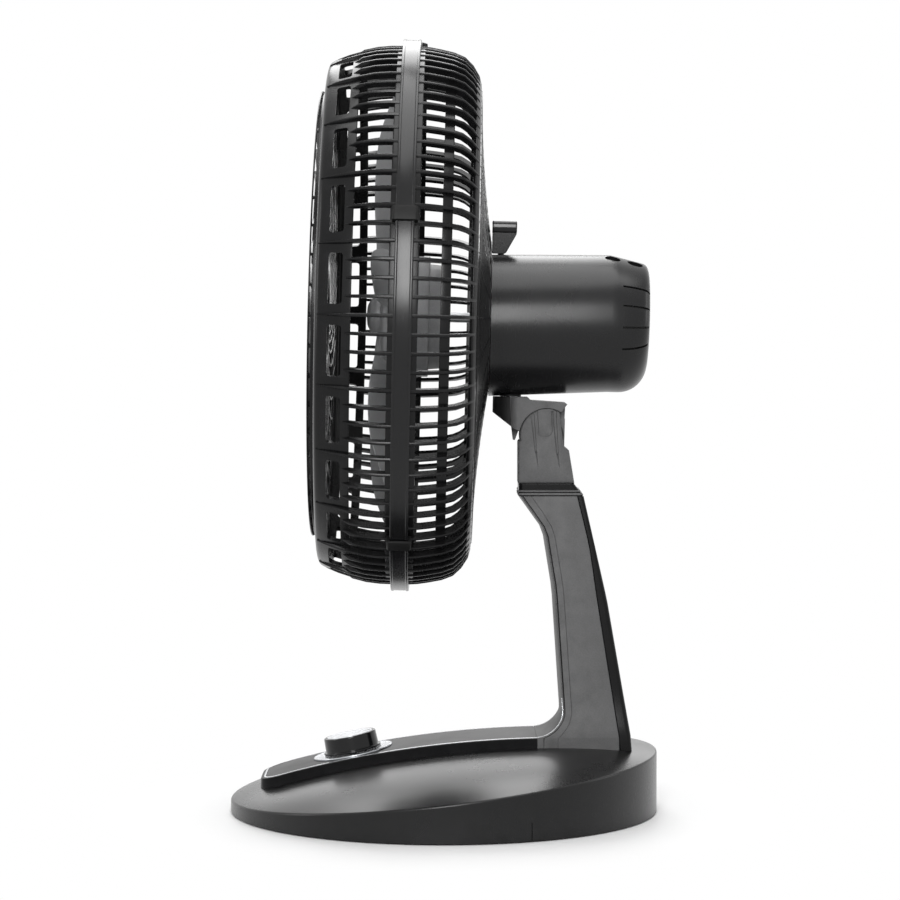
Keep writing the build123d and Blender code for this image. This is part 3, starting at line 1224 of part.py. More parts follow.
dial_bottom = BEZEL_PROUD + MOVE_GAP
dial_top = dial_bottom + DIAL_HEIGHT
cap_thickness = 1.0
shaft_top = dial_top - 4.0
with BuildPart() as speed_knob:
    with BuildSketch(DIAL.offset(dial_bottom)):
        Circle(DIAL_RADIUS + 1.6)
    extrude(amount=DIAL_SKIRT)
    with BuildSketch(DIAL.offset(dial_bottom)):
        Circle(DIAL_RADIUS)
    extrude(amount=DIAL_HEIGHT, taper=2.0)
    fillet(speed_knob.edges().filter_by(GeomType.CIRCLE).sort_by(Axis.Z)[-1], 1.2)
    with BuildSketch(DIAL.offset(dial_bottom)):
        Circle(DIAL_RADIUS - DIAL_WALL)
        Circle(SWITCH_SHAFT_RADIUS + 3.0, mode=Mode.SUBTRACT)
    extrude(amount=DIAL_HEIGHT - 2 * DIAL_WALL, mode=Mode.SUBTRACT)
    with BuildSketch(DIAL.offset(dial_bottom)):
        Circle(SWITCH_SHAFT_RADIUS + 0.02)
    extrude(amount=shaft_top - dial_bottom + SEAT_GAP, mode=Mode.SUBTRACT)
    with BuildSketch(DIAL.offset(dial_top - cap_thickness + 0.2)):
        Circle(DIAL_RADIUS - 2.8)
    extrude(amount=2 * cap_thickness, mode=Mode.SUBTRACT)

with BuildPart() as knob_cap:
    with BuildSketch(DIAL.offset(dial_top - cap_thickness + 0.25)):
        Circle(DIAL_RADIUS - 3.0)
        with Locations((0, DIAL_RADIUS - 7.0)):
            Rectangle(1.6, 5.0, mode=Mode.SUBTRACT)
    extrude(amount=cap_thickness)

switch_top = -STRIP_HEIGHT - WALL - 1.2
with BuildPart() as switch_shaft:
    with BuildSketch(DIAL.offset(switch_top - 6.0)):
        Circle(SWITCH_SHAFT_RADIUS)
    extrude(amount=shaft_top - switch_top + 6.0)

with BuildPart() as speed_switch:
    with BuildSketch(DIAL.offset(switch_top - SWITCH_HEIGHT)):
        RectangleRounded(SWITCH_SIZE, SWITCH_SIZE, 3.0)
    extrude(amount=SWITCH_HEIGHT)
    with BuildSketch(DIAL.offset(switch_top - 6.0)):
        Circle(SWITCH_SHAFT_RADIUS + RUNNING_GAP)
    extrude(amount=6.0, mode=Mode.SUBTRACT)

capacitor_floor = PLATE_BOTTOM + PLATE_THICKNESS + SEAT_GAP
with BuildPart() as run_capacitor:
    with BuildSketch(Plane.XY.offset(capacitor_floor)):
        with Locations(CAPACITOR_PLACE):
            RectangleRounded(CAPACITOR_SIZE[0], CAPACITOR_SIZE[1], 2.0)
    extrude(amount=CAPACITOR_SIZE[2])

with BuildPart() as cord_gland:
    with BuildSketch(Plane.XZ.offset(-BASE_RADIUS + 1.0)):
        with Locations((0, GLAND_HEIGHT)):
            Circle(GLAND_RADIUS)
            Circle(CORD_RADIUS + 0.2, mode=Mode.SUBTRACT)
    extrude(amount=6.0)

# ---------- column ----------

column_top = COLLAR_BOTTOM - SEAT_GAP
foot_level = 45.6
toe_level = 62.3         # the toe runs out level with the strip's top
knee = (COLUMN_TOE + 18.6, COLUMN_BEND_HEIGHT)
front_line = [
    (PIVOT_Y - 5.6, column_top - 24.0),
    (PIVOT_Y - 2.6, column_top - 32.0),
    (knee[0] - 6.4, column_top - 74.0),
    knee,
]
side_rear_line = [
    (COLUMN_FOOT_REAR, foot_level),
    (COLUMN_FOOT_REAR - 19.9, column_top - 82.0),
    (PIVOT_Y + 33.4, column_top - 39.0),
    (PIVOT_Y + 24.0, column_top),
]
cover_rear_line = [
    (COLUMN_FOOT_REAR + COVER_DEPTH, foot_level),
    (COLUMN_FOOT_REAR - 11.7, column_top - 82.2),
    (PIVOT_Y + 29.2, column_top),
]


def column_side(rear_line, inset):
    """The column's side outline, moved in at the front by an inset."""
    with BuildSketch() as side:
        with BuildLine():
            Polyline((neck_front + inset, column_top), *[(y + inset, z) for y, z in front_line])
            ThreePointArc((knee[0] + inset, knee[1]), (knee[0] - 6.9 + inset, knee[1] - 16.8 + inset / 2),
                          (COLUMN_TOE, toe_level - inset))
            Polyline((COLUMN_TOE, toe_level - inset), (COLUMN_TOE, RIM_HEIGHT), (rear_line[0][0], RIM_HEIGHT),
                     *rear_line, (neck_front + inset, column_top))
        make_face()
    return side.sketch


def column_front(inset):
    """The column's front outline: it narrows from the foot to the top."""
    foot = COLUMN_FOOT_HALF_WIDTH - inset
    top = COLUMN_TOP_HALF_WIDTH - inset
    with BuildSketch() as front:
        Polygon((-foot, 0), (foot, 0), (foot, toe_level), (foot - 5.0, knee[1]), (top, COLLAR_TOP),
                (-top, COLLAR_TOP), (5.0 - foot, knee[1]), (-foot, toe_level), align=None)
    return front.sketch


def column_solid(rear_line, inset):
    """The column as one solid standing on the base's dish."""
    with BuildPart() as solid:
        with BuildSketch(Plane.YZ):
            add(column_side(rear_line, inset))
        extrude(amount=2 * COLUMN_FOOT_HALF_WIDTH, both=True)
        with BuildSketch(Plane.XZ):
            add(column_front(inset))
        extrude(amount=-2 * BASE_RADIUS, mode=Mode.INTERSECT)
        add(dished_form(0.02, BASE_RADIUS + 1.0, 0), mode=Mode.SUBTRACT)
    return solid.part


with BuildPart() as column_shell:
    add(column_solid(side_rear_line, 0))
    with BuildSketch(Plane.YZ):
        add(column_side(side_rear_line, WALL))
    extrude(amount=COLUMN_TOP_HALF_WIDTH - WALL, both=True, mode=Mode.SUBTRACT)

with BuildPart() as column_rear_cover:
    add(column_solid(cover_rear_line, COVER_INSET))
    with BuildSketch(Plane.YZ):
        Polygon((0, 0), (0, column_top + 1.0), *[(y + SEAT_GAP, z) for y, z in reversed(side_rear_line)],
                (side_rear_line[0][0] + SEAT_GAP, 0), align=None)
    extrude(amount=2 * COLUMN_FOOT_HALF_WIDTH, both=True, mode=Mode.SUBTRACT)

# ---------- write the pieces ----------

pieces = {
    "base_shell": base_shell,
    "base_bottom_plate": base_bottom_plate,
    "rubber_feet": rubber_feet,
    "base_screws": base_screws,
    "control_strip": control_strip,
    "strip_trim": strip_trim,
    "knob_bezel": knob_bezel,
    "speed_switch": speed_switch,
    "run_capacitor": run_capacitor,
    "cord_gland": cord_gland,
    "speed_knob": speed_knob,
    "knob_cap": knob_cap,
    "switch_shaft": switch_shaft,
    "column_shell": column_shell,
    "column_rear_cover": column_rear_cover,
    "neck_collar": neck_collar,
    "neck_head": neck_head,
    "tilt_bolt": tilt_bolt,
    "tilt_nut": tilt_nut,
    "tilt_washers": tilt_washers,
    "tilt_bracket": tilt_bracket,
    "swivel_stud": swivel_stud,
    "swivel_sleeve": swivel_sleeve,
    "motor_housing": motor_housing,
    "housing_front_plate": housing_front_plate,
    "plate_screws": plate_screws,
    "cage_nut": cage_nut,
    "bearing_front": bearing_front,
    "bearing_rear": bearing_rear,
    "rear_bracket": rear_bracket,
    "motor_bolts": motor_bolts,
    "stator_core": stator_core,
    "stator_windings": stator_windings,
    "rotor_core": rotor_core,
    "motor_shaft": motor_shaft,
    "worm": worm,
    "gearbox_case": gearbox_case,
    "worm_wheel": worm_wheel,
    "clutch_spindle": clutch_spindle,
    "crank_gear": crank_gear,
    "link_arm": link_arm,
    "oscillation_knob": oscillation_knob,
    "shift_fork": shift_fork,
    "propeller": propeller,
    "blade_nut": blade_nut,
    "rear_cage": rear_cage,
    "rear_grille": rear_grille,
    "front_cage": front_cage,
    "front_grille": front_grille,
    "front_cap": front_cap,
    "cage_band": cage_band,
    "band_clips": band_clips,
}
for label, piece in pieces.items():
    piece.part.label = label
    export_step(piece.part, f"parts/{label}.step")
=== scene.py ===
import json
from math import asin, cos, pi, radians, sin, sqrt

import bmesh
import bpy
from mathutils import Matrix, Vector


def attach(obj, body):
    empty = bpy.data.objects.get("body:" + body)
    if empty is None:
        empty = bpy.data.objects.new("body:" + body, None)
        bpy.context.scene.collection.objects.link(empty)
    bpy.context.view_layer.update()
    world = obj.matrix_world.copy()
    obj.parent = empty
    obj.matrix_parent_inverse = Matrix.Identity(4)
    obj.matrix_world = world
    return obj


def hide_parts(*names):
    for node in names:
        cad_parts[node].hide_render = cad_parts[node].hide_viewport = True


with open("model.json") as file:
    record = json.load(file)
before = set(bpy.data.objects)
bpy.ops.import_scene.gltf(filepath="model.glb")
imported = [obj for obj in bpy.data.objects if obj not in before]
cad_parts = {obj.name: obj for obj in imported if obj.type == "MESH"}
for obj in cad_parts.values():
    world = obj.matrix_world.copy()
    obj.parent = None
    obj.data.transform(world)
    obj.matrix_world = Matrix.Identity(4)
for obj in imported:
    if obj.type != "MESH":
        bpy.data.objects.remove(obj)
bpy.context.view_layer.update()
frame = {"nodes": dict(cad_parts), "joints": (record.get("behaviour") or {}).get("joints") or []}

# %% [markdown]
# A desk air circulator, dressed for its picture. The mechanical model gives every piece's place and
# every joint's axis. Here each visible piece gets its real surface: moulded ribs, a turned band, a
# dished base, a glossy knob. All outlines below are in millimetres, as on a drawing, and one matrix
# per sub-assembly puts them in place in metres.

MM = 0.001
JOINTS = {joint["name"]: joint for joint in frame["joints"]}
RIGHT = Vector((1, 0, 0))


def joint_line(name):
    """A joint's place and its axis."""
    return Vector(JOINTS[name]["pos_m"]), Vector(JOINTS[name]["axis"]).normalized()


def place_matrix(origin, across, along, upward):
    """A matrix from millimetres in a sub-assembly's own axes to metres in the fan's frame."""
    columns = [column.normalized() * MM for column in (across, along, upward)]
    return Matrix.Translation(origin) @ Matrix(columns).transposed().to_4x4()


FAN_CENTRE, FAN_REAR = joint_line("rotor_spin")
_, HEAD_UP = joint_line("oscillation")
DIAL_CENTRE, DIAL_UP = joint_line("speed_knob_turn")
FLOOR = Matrix.Scale(MM, 4)
AXLE = place_matrix(FAN_CENTRE, -RIGHT, HEAD_UP, FAN_REAR)      # (x, y) across the fan, z = station
HEAD = place_matrix(FAN_CENTRE, RIGHT, FAN_REAR, HEAD_UP)       # (x, station, height)
DIAL = place_matrix(DIAL_CENTRE, RIGHT, DIAL_UP.cross(RIGHT), DIAL_UP)
print("fan centre", tuple(round(c, 4) for c in FAN_CENTRE), "dial", tuple(round(c, 4) for c in DIAL_CENTRE))

# %% [markdown]
# The camera comes first. The photograph is a side view from about two and a half metres away with a
# long lens: the near ribs look a little larger than the far ones, and the floor is seen at a flat
# angle. A 120 mm lens on the usual 36 mm sensor gives that view without any shift.

# %% Camera
EYE = Vector((2.4, 0.005, 0.393))
AIM = Vector((0.0, 0.005, 0.289))


def linked(name, data):
    """A new object with its data, linked to the scene."""
    piece = bpy.data.objects.new(name, data)
    bpy.context.scene.collection.objects.link(piece)
    return piece


def pointed(piece, place, aim):
    """Puts a camera or a lamp at a place and points it at another."""
    piece.location = place
    piece.rotation_euler = (Vector(aim) - Vector(place)).to_track_quat("-Z", "Y").to_euler()
    return piece


camera_data = bpy.data.cameras.new("side_camera")
camera_data.lens = 120
camera_data.sensor_width = 36
bpy.context.scene.camera = pointed(linked("side_camera", camera_data), EYE, AIM)
print("camera", round((AIM - EYE).length, 3), "m from the fan")

# %% [markdown]
# Finishes, backdrop and the shapes that repeat are all node trees. These helpers add a node with its
# links in one line, and name the small steps that come back in every tree.

# %% Node helpers
def wire(tree, kind, links=(), **settings):
    """Adds a node, sets its properties and joins (output socket, input name or number) pairs to it."""
    node = tree.nodes.new(kind)
    for label, value in settings.items():
        setattr(node, label, value)
    for source, target in links:
        if hasattr(source, "is_output"):
            tree.links.new(source, node.inputs[target])
        else:
            node.inputs[target].default_value = source
    return node


def maths(tree, operation, *values, **settings):
    """The result of a Math node on sockets and plain numbers."""
    links = [(value, n) for n, value in enumerate(values)]
    return wire(tree, "ShaderNodeMath", links, operation=operation, **settings).outputs[0]


def span(tree, source, low, high, to_low=0.0, to_high=1.0, **settings):
    """Maps a value from one range to another and clamps it."""
    links = [(source, "Value"), (low, "From Min"), (high, "From Max"), (to_low, "To Min"), (to_high, "To Max")]
    return wire(tree, "ShaderNodeMapRange", links, **settings).outputs[0]


def object_place(tree):
    """The place on the object, in metres."""
    return wire(tree, "ShaderNodeTexCoord").outputs["Object"]


def noise(tree, place, scale, *links):
    """A noise between 0 and 1 at a place."""
    return wire(tree, "ShaderNodeTexNoise", [(place, "Vector"), (scale, "Scale"), *links]).outputs["Fac"]


def new_material(name):
    """An empty node material with its tree."""
    material = bpy.data.materials.new(name)
    material.use_nodes = True
    material.node_tree.nodes.clear()
    return material, material.node_tree


# %% [markdown]
# The stage is a pale floor that runs on into a pale world. White product pictures are lit by large
# soft boxes: a tall one beside the camera, one overhead, two behind the fan, of which the low one
# lays a soft sheen on the dish, and a weaker one at the front and the rear. The lamps stay plain, and
# the whiteness behind the fan comes from the world's and the floor's own colour.

# %% Floor, world and lamps
FAN_MIDDLE = (0, 0.02, 0.33)
WORLD_LIGHT = 0.2
FLOOR_SIZE = 6.0
SHADOW_KEPT = 0.160     # metres from the middle of the base; further out the floor fades to white
WHITE_FROM = 0.285


def camera_sees(tree):
    """1 for camera, glossy and transmission rays, 0 for the rest: what the backdrop shows itself to."""
    rays = wire(tree, "ShaderNodeLightPath").outputs
    seen = maths(tree, "MAXIMUM", rays["Is Camera Ray"], rays["Is Glossy Ray"])
    return maths(tree, "MAXIMUM", seen, rays["Is Transmission Ray"])


def mixed_shaders(tree, share, first, second):
    """A mix of two shaders."""
    links = [(share, 0), (first.outputs[0], 1), (second.outputs[0], 2)]
    return wire(tree, "ShaderNodeMixShader", links).outputs[0]


def build_world():
    """A world that lights gently and looks white."""
    world = bpy.data.worlds.new("studio_world")
    bpy.context.scene.world = world
    world.use_nodes = True
    tree = world.node_tree
    tree.nodes.clear()
    light, shown = [wire(tree, "ShaderNodeBackground", [((1, 1, 1, 1), "Color"), (strength, "Strength")])
                    for strength in (WORLD_LIGHT, 1.0)]
    wire(tree, "ShaderNodeOutputWorld", [(mixed_shaders(tree, camera_sees(tree), light, shown), "Surface")])


def build_floor():
    """A pale floor that keeps the fan's shadow near the base and runs out into the white backdrop."""
    bm = bmesh.new()
    bmesh.ops.create_grid(bm, x_segments=1, y_segments=1, size=FLOOR_SIZE)
    mesh = bpy.data.meshes.new("floor")
    bm.to_mesh(mesh)
    bm.free()
    material, tree = new_material("pale_floor")
    paper = wire(tree, "ShaderNodeBsdfPrincipled", [((0.86, 0.86, 0.86, 1), "Base Color"), (0.6, "Roughness")])
    away = wire(tree, "ShaderNodeVectorMath", [(object_place(tree), 0)], operation="LENGTH").outputs["Value"]
    fade = span(tree, away, SHADOW_KEPT, WHITE_FROM, interpolation_type="SMOOTHSTEP")
    share = maths(tree, "MULTIPLY", camera_sees(tree), fade)
    surface = mixed_shaders(tree, share, paper, wire(tree, "ShaderNodeEmission"))
    wire(tree, "ShaderNodeOutputMaterial", [(surface, "Surface")])
    mesh.materials.append(material)
    linked("floor", mesh)


build_world()
build_floor()
for name, place, size, power in [
        ("camera_box", (2.35, -0.1, 1.2), (0.7, 1.2), 42), ("overhead_box", (0.1, 0.1, 2.0), (1.3, 1.3), 20),
        ("far_box", (-1.4, -0.1, 1.7), (1.0, 1.2), 15), ("low_far_box", (-1.5, 0.05, 0.52), (1.2, 0.25), 1.8),
        ("front_box", (0.2, -2.2, 1.0), (0.6, 1.4), 12), ("rear_box", (-0.2, 2.2, 1.0), (0.6, 1.4), 5)]:
    soft_box = bpy.data.lights.new(name, "AREA")
    soft_box.shape = "RECTANGLE"
    soft_box.size, soft_box.size_y = size
    soft_box.energy = power
    pointed(linked(name, soft_box), place, FAN_MIDDLE)
bpy.context.scene.view_settings.view_transform = "Standard"
print("stage set with", len(bpy.data.lights), "lamps")

# %% [markdown]
# Every plastic on this fan leaves a mould with the same fine spark-eroded grain, and every one gathers
# a little dust and a few finger marks. An effect that several finishes share is a node group: it is
# wired once, and each material sets its own numbers on it. The groups only give masks and heights,
# so the Principled shader stays in the material.

# %% Shader groups: grain, handling, dust and rubbed edges
def new_group(name, inputs):
    """A shader group with named number inputs, and the inputs' sockets inside it."""
    tree = bpy.data.node_groups.new(name, "ShaderNodeTree")
    for label, value in inputs.items():
        socket = tree.interface.new_socket(name=label, in_out="INPUT", socket_type="NodeSocketFloat")
        socket.default_value = value
    return tree, tree.nodes.new("NodeGroupInput").outputs


def close_group(tree, **results):
    """Gives a group its outputs."""
    for label in results:
        tree.interface.new_socket(name=label, in_out="OUTPUT", socket_type="NodeSocketFloat")
    wire(tree, "NodeGroupOutput", [(result, label) for label, result in results.items()])
    return tree


def moulded_grain_group():
    """Fine mould grain: a height for a Bump node and a speckle for the roughness."""
    tree, given = new_group("moulded_grain", {"Size": 1400.0, "Depth": 0.5})
    grain = noise(tree, object_place(tree), given["Size"], (2.0, "Detail"), (0.65, "Roughness"))
    return close_group(tree, Height=maths(tree, "MULTIPLY", grain, given["Depth"]),
                       Speckle=span(tree, grain, 0.35, 0.65))


def handling_group():
    """Broad soft smears where hands have wiped the gloss, and a few hair-fine scuffs."""
    tree, given = new_group("handling_marks", {"Size": 14.0, "Smears": 1.0, "Scuffs": 1.0})
    place = object_place(tree)
    smear = span(tree, noise(tree, place, given["Size"], (3.0, "Detail"), (0.8, "Distortion")), 0.45, 0.75)
    stretched = wire(tree, "ShaderNodeMapping", [(place, "Vector"), ((0.4, 0.9, 0.2), "Rotation"),
                                                 ((1.0, 14.0, 1.0), "Scale")]).outputs[0]
    scuff = span(tree, noise(tree, stretched, 130.0, (2.0, "Detail")), 0.66, 0.74)
    return close_group(tree, Mask=maths(tree, "ADD", maths(tree, "MULTIPLY", smear, given["Smears"]),
                                        maths(tree, "MULTIPLY", scuff, given["Scuffs"]), use_clamp=True))


def dust_group():
    """Dust that has settled on faces that look up, in patches."""
    tree, given = new_group("settled_dust", {"Amount": 1.0, "Patch Size": 60.0})
    texture = wire(tree, "ShaderNodeTexCoord").outputs
    upward = wire(tree, "ShaderNodeSeparateXYZ", [(texture["Normal"], 0)]).outputs["Z"]
    patch = noise(tree, texture["Object"], given["Patch Size"], (6.0, "Detail"), (0.7, "Roughness"))
    settled = maths(tree, "MULTIPLY", span(tree, upward, 0.25, 1.0), span(tree, patch, 0.35, 0.8))
    return close_group(tree, Mask=maths(tree, "MULTIPLY", settled, given["Amount"]))


def rubbed_edge_group():
    """Edges that hands and cloths have rubbed: it reads the edge attribute that each piece carries."""
    tree, given = new_group("rubbed_edge", {"Amount": 1.0})
    edge = wire(tree, "ShaderNodeAttribute", attribute_name="edge").outputs["Fac"]
    broken = span(tree, noise(tree, object_place(tree), 90.0, (4.0, "Detail")), 0.3, 0.7)
    rubbed = maths(tree, "MULTIPLY", edge, broken)
    return close_group(tree, Mask=maths(tree, "MULTIPLY", rubbed, given["Amount"]))


GRAIN = moulded_grain_group()
HANDLING = handling_group()
DUST = dust_group()
RUBBED = rubbed_edge_group()
print("shader groups:", [group.name for group in bpy.data.node_groups])

# %% [markdown]
# The whole fan is one black, yet no two pieces shine alike: the band and the speed knob are polished,
# the housing is satin, the neck and column are matt and lighter, the cage lies in between. One recipe
# makes them all from a colour, a shine and the shared groups, so that the set stays one family.

# %% Plastics
PALE_DUST = (0.16, 0.155, 0.145)
BUMP_HEIGHT = 0.0001            # metres
MOULD_BUMP = 0.25
SMEAR_SIZE = 11.0
SMEAR_DULLS = 0.12              # added to the roughness
DUST_DULLS = 0.5
SPECK_SHADE = 0.8
RUBBED_SHADE, RUBBED_LIFT = 2.2, 0.012


def use_group(tree, group, **values):
    """Places a group in a material with its own numbers, and gives its outputs."""
    return wire(tree, "ShaderNodeGroup", [(value, label) for label, value in values.items()],
                node_tree=group).outputs


def mixed(tree, mask, first, second):
    """A colour that goes from the first to the second with a mask."""
    links = [(colour if hasattr(colour, "is_output") else (*colour, 1), socket)
             for colour, socket in ((first, 6), (second, 7))]
    return wire(tree, "ShaderNodeMix", [(mask, 0), *links], data_type="RGBA").outputs[2]


def close_material(tree, colour, roughness, height, strength, *links):
    """The Principled shader with its colour, its roughness and its bump."""
    bump = wire(tree, "ShaderNodeBump", [(height, "Height"), (strength, "Strength"), (BUMP_HEIGHT, "Distance")])
    shader = wire(tree, "ShaderNodeBsdfPrincipled", [
        (colour, "Base Color"), (roughness, "Roughness"), (bump.outputs[0], "Normal"), *links])
    wire(tree, "ShaderNodeOutputMaterial", [(shader.outputs[0], "Surface")])


def moulded_plastic(name, colour, gloss, grain=1400.0, depth=0.4, dust=0.12, rub=0.25, level=0.28,
                    smears=0.5):
    """A moulded plastic: grain in the bump, marks in the roughness, dust and rubbed edges in the colour."""
    material, tree = new_material(name)
    skin = use_group(tree, GRAIN, Size=grain, Depth=depth)
    marks = use_group(tree, HANDLING, Size=SMEAR_SIZE, Smears=smears, Scuffs=smears)["Mask"]
    settled = use_group(tree, DUST, Amount=dust)["Mask"]
    rubbed = use_group(tree, RUBBED, Amount=rub)["Mask"]
    body = mixed(tree, skin["Speckle"], [SPECK_SHADE * c for c in colour], colour)
    body = mixed(tree, rubbed, body, [min(1.0, RUBBED_SHADE * c + RUBBED_LIFT) for c in colour])
    body = mixed(tree, settled, body, PALE_DUST)
    shine = span(tree, marks, 0.0, 1.0, gloss, min(1.0, gloss + SMEAR_DULLS))
    dulled = maths(tree, "ADD", shine, maths(tree, "MULTIPLY", settled, DUST_DULLS), use_clamp=True)
    close_material(tree, body, dulled, skin["Height"], MOULD_BUMP, (level, "Specular IOR Level"))
    return material


cage_plastic = moulded_plastic("cage_satin_black", (0.004, 0.004, 0.0043), 0.24, dust=0.04, level=0.2)
band_plastic = moulded_plastic("band_gloss_black", (0.007, 0.007, 0.0075), 0.20, depth=0.15, dust=0.03)
clip_plastic = moulded_plastic("clip_matt_black", (0.005, 0.005, 0.005), 0.50, dust=0.03, level=0.18)
housing_plastic = moulded_plastic("housing_satin_black", (0.007, 0.007, 0.0075), 0.25, dust=0.05)
blade_plastic = moulded_plastic("blade_smoke_grey", (0.27, 0.272, 0.278), 0.40, dust=0.10, level=0.5)
cap_plastic = moulded_plastic("cap_satin_black", (0.007, 0.007, 0.0075), 0.30, dust=0.04)
neck_plastic = moulded_plastic("neck_matt_grey", (0.090, 0.090, 0.091), 0.50, grain=1000.0, depth=0.8)
cover_plastic = moulded_plastic("cover_satin_black", (0.003, 0.003, 0.0032), 0.24, dust=0.03, level=0.15)
base_plastic = moulded_plastic("base_satin_black", (0.004, 0.004, 0.0043), 0.27, dust=0.03, level=0.30,
                               smears=0.15)
strip_plastic = moulded_plastic("strip_satin_black", (0.009, 0.009, 0.0095), 0.30, dust=0.03, level=0.04)
dial_plastic = moulded_plastic("dial_gloss_black", (0.006, 0.006, 0.0065), 0.14, depth=0.1, dust=0.02)
under_plastic = moulded_plastic("plate_matt_black", (0.014, 0.014, 0.014), 0.6, grain=900.0, depth=0.9)
foot_rubber = moulded_plastic("foot_rubber_black", (0.016, 0.016, 0.016), 0.85, grain=600.0, depth=1.0, rub=0.1)
nylon = moulded_plastic("natural_nylon", (0.62, 0.60, 0.54), 0.45, dust=0.0, rub=0.0, level=0.5)
inner_plastic = moulded_plastic("inner_black_plastic", (0.018, 0.018, 0.019), 0.5, dust=0.0, rub=0.0)
print("plastics ready")

# %% [markdown]
# Metals show on the dial and inside. The knob's cap and the bezel are spun aluminium, whose fine rings
# turn round the dial's axis, so their pattern is a ring pattern on Object coordinates moved to the
# dial with a Mapping node. The bright lines are smooth plate, and the inner metals get a brushed noise.

# %% Metals
def brushed(grain, size):
    """Fine tool marks that run one way."""
    def marks(tree, place):
        drawn = wire(tree, "ShaderNodeMapping", [(place, "Vector"), (grain, "Scale")]).outputs[0]
        return noise(tree, drawn, size, (4.0, "Detail"))
    return marks


def spun(rings):
    """Fine rings about the dial's axis."""
    def marks(tree, place):
        to_dial = DIAL.inverted()
        moved = wire(tree, "ShaderNodeMapping", [(place, "Vector"), (tuple(to_dial.to_euler()), "Rotation"),
                                                 (tuple(to_dial.translation * MM), "Location")]).outputs[0]
        return wire(tree, "ShaderNodeTexWave", [(moved, "Vector"), (rings, "Scale"), (0.6, "Distortion"),
                                                (2.0, "Detail"), (3.0, "Detail Scale")],
                    wave_type="RINGS", rings_direction="Z").outputs["Fac"]
    return marks


def metal(name, colour, gloss, marks=brushed((1.0, 1.0, 12.0), 160.0), between=(0.3, 0.7), duller=0.14,
          strength=0.2, darker=0.82, cloud=20.0, smears=0.6, scuffs=0.4):
    """A metal with its tool marks in roughness and bump, and a slight cloud in its colour."""
    material, tree = new_material(name)
    tool = marks(tree, object_place(tree))
    handled = use_group(tree, HANDLING, Size=cloud, Smears=smears, Scuffs=scuffs)["Mask"]
    body = mixed(tree, handled, colour, [darker * c for c in colour])
    shine = span(tree, tool, *between, gloss, gloss + duller)
    close_material(tree, body, shine, tool, strength, (1.0, "Metallic"))
    return material


trim_chrome = metal("bezel_spun_metal", (0.42, 0.43, 0.45), 0.16, spun(900.0), (0.0, 1.0), duller=0.1,
                    strength=0.15, darker=0.86, cloud=30.0, smears=0.5, scuffs=0.3)
line_chrome = metal("trim_bright_line", (0.62, 0.63, 0.65), 0.14)
steel = metal("bright_steel", (0.56, 0.57, 0.58), 0.28)
cast_alloy = metal("cast_alloy", (0.48, 0.48, 0.49), 0.45, brushed((1.0, 1.0, 1.0), 420.0))
laminations = metal("stacked_laminations", (0.30, 0.31, 0.33), 0.38, brushed((0.1, 9.0, 0.1), 220.0))
copper = metal("enamelled_copper", (0.62, 0.25, 0.11), 0.30, brushed((6.0, 1.0, 6.0), 160.0))
brass = metal("turned_brass", (0.70, 0.52, 0.22), 0.26)
print("metals ready")

# %% [markdown]
# Most moulded and turned pieces start as an outline whose corners are rounded, and are then either
# turned round an axis or pressed out flat. These helpers keep the outlines short: each corner gives
# its point and its radius, and the mesh comes out closed, with its faces pointing outwards.

# %% Outline and mesh helpers
MERGE_MM = 1e-4


def rounded(corners, steps=3):
    """A closed outline with rounded corners; each corner is (x, y) or (x, y, radius)."""
    outline = []
    for n, (x, y, *radius) in enumerate(corners):
        here = Vector((x, y))
        if not radius:
            outline.append(tuple(here))
            continue
        before = Vector(corners[n - 1][:2]) - here
        after = Vector(corners[(n + 1) % len(corners)][:2]) - here
        reach = min(radius[0], 0.49 * before.length, 0.49 * after.length)
        start = here + before.normalized() * reach
        end = here + after.normalized() * reach
        for step in range(steps + 1):
            t = step / steps
            outline.append(tuple(start * (1 - t) ** 2 + here * 2 * t * (1 - t) + end * t ** 2))
    return outline


def rectangle(left, right, low, high, *radius):
    """The corners of a rectangle, all with the same radius."""
    return [(x, y, *radius) for x, y in ((left, low), (right, low), (right, high), (left, high))]


def object_from(bm, name, matrix=None, merge=MERGE_MM):
    """Makes a mesh object of a bmesh, placed by a matrix, with its normals outwards."""
    bmesh.ops.remove_doubles(bm, verts=bm.verts, dist=merge)
    if matrix is not None:
        bmesh.ops.transform(bm, matrix=matrix, verts=bm.verts)
    bmesh.ops.recalc_face_normals(bm, faces=bm.faces)
    mesh = bpy.data.meshes.new(name)
    bm.to_mesh(mesh)
    bm.free()
    return linked(name, mesh)


def turned(name, corners, steps=96, matrix=None, corner_steps=3):
    """A piece turned round Z from a closed (station, radius) outline with rounded corners."""
    bm = bmesh.new()
    turns = [(cos(2 * pi * n / steps), sin(2 * pi * n / steps)) for n in range(steps)]
    rings = []
    for station, radius in rounded(corners, corner_steps):
        if radius < 1e-6:
            rings.append([bm.verts.new((0, 0, station))] * steps)
        else:
            rings.append([bm.verts.new((radius * x, radius * y, station)) for x, y in turns])
    for first, second in zip(rings, rings[1:] + rings[:1]):
        for n in range(steps):
            m = (n + 1) % steps
            face = list(dict.fromkeys([first[n], first[m], second[m], second[n]]))
            if len(face) > 2:
                bm.faces.new(face)
    return object_from(bm, name, matrix)


def pressed(outline, low, high, plane="XY"):
    """Pushes a closed outline from one level to another along the third axis."""
    order = {"XY": (0, 1, 2), "YZ": (2, 0, 1), "XZ": (0, 2, 1)}[plane]
    bm = bmesh.new()
    ends = [[bm.verts.new([(a, b, level)[n] for n in order]) for a, b in outline] for level in (low, high)]
    for ring in ends:
        bm.faces.new(ring)
    for n in range(len(outline)):
        m = (n + 1) % len(outline)
        bm.faces.new([ends[0][n], ends[0][m], ends[1][m], ends[1][n]])
    return bm


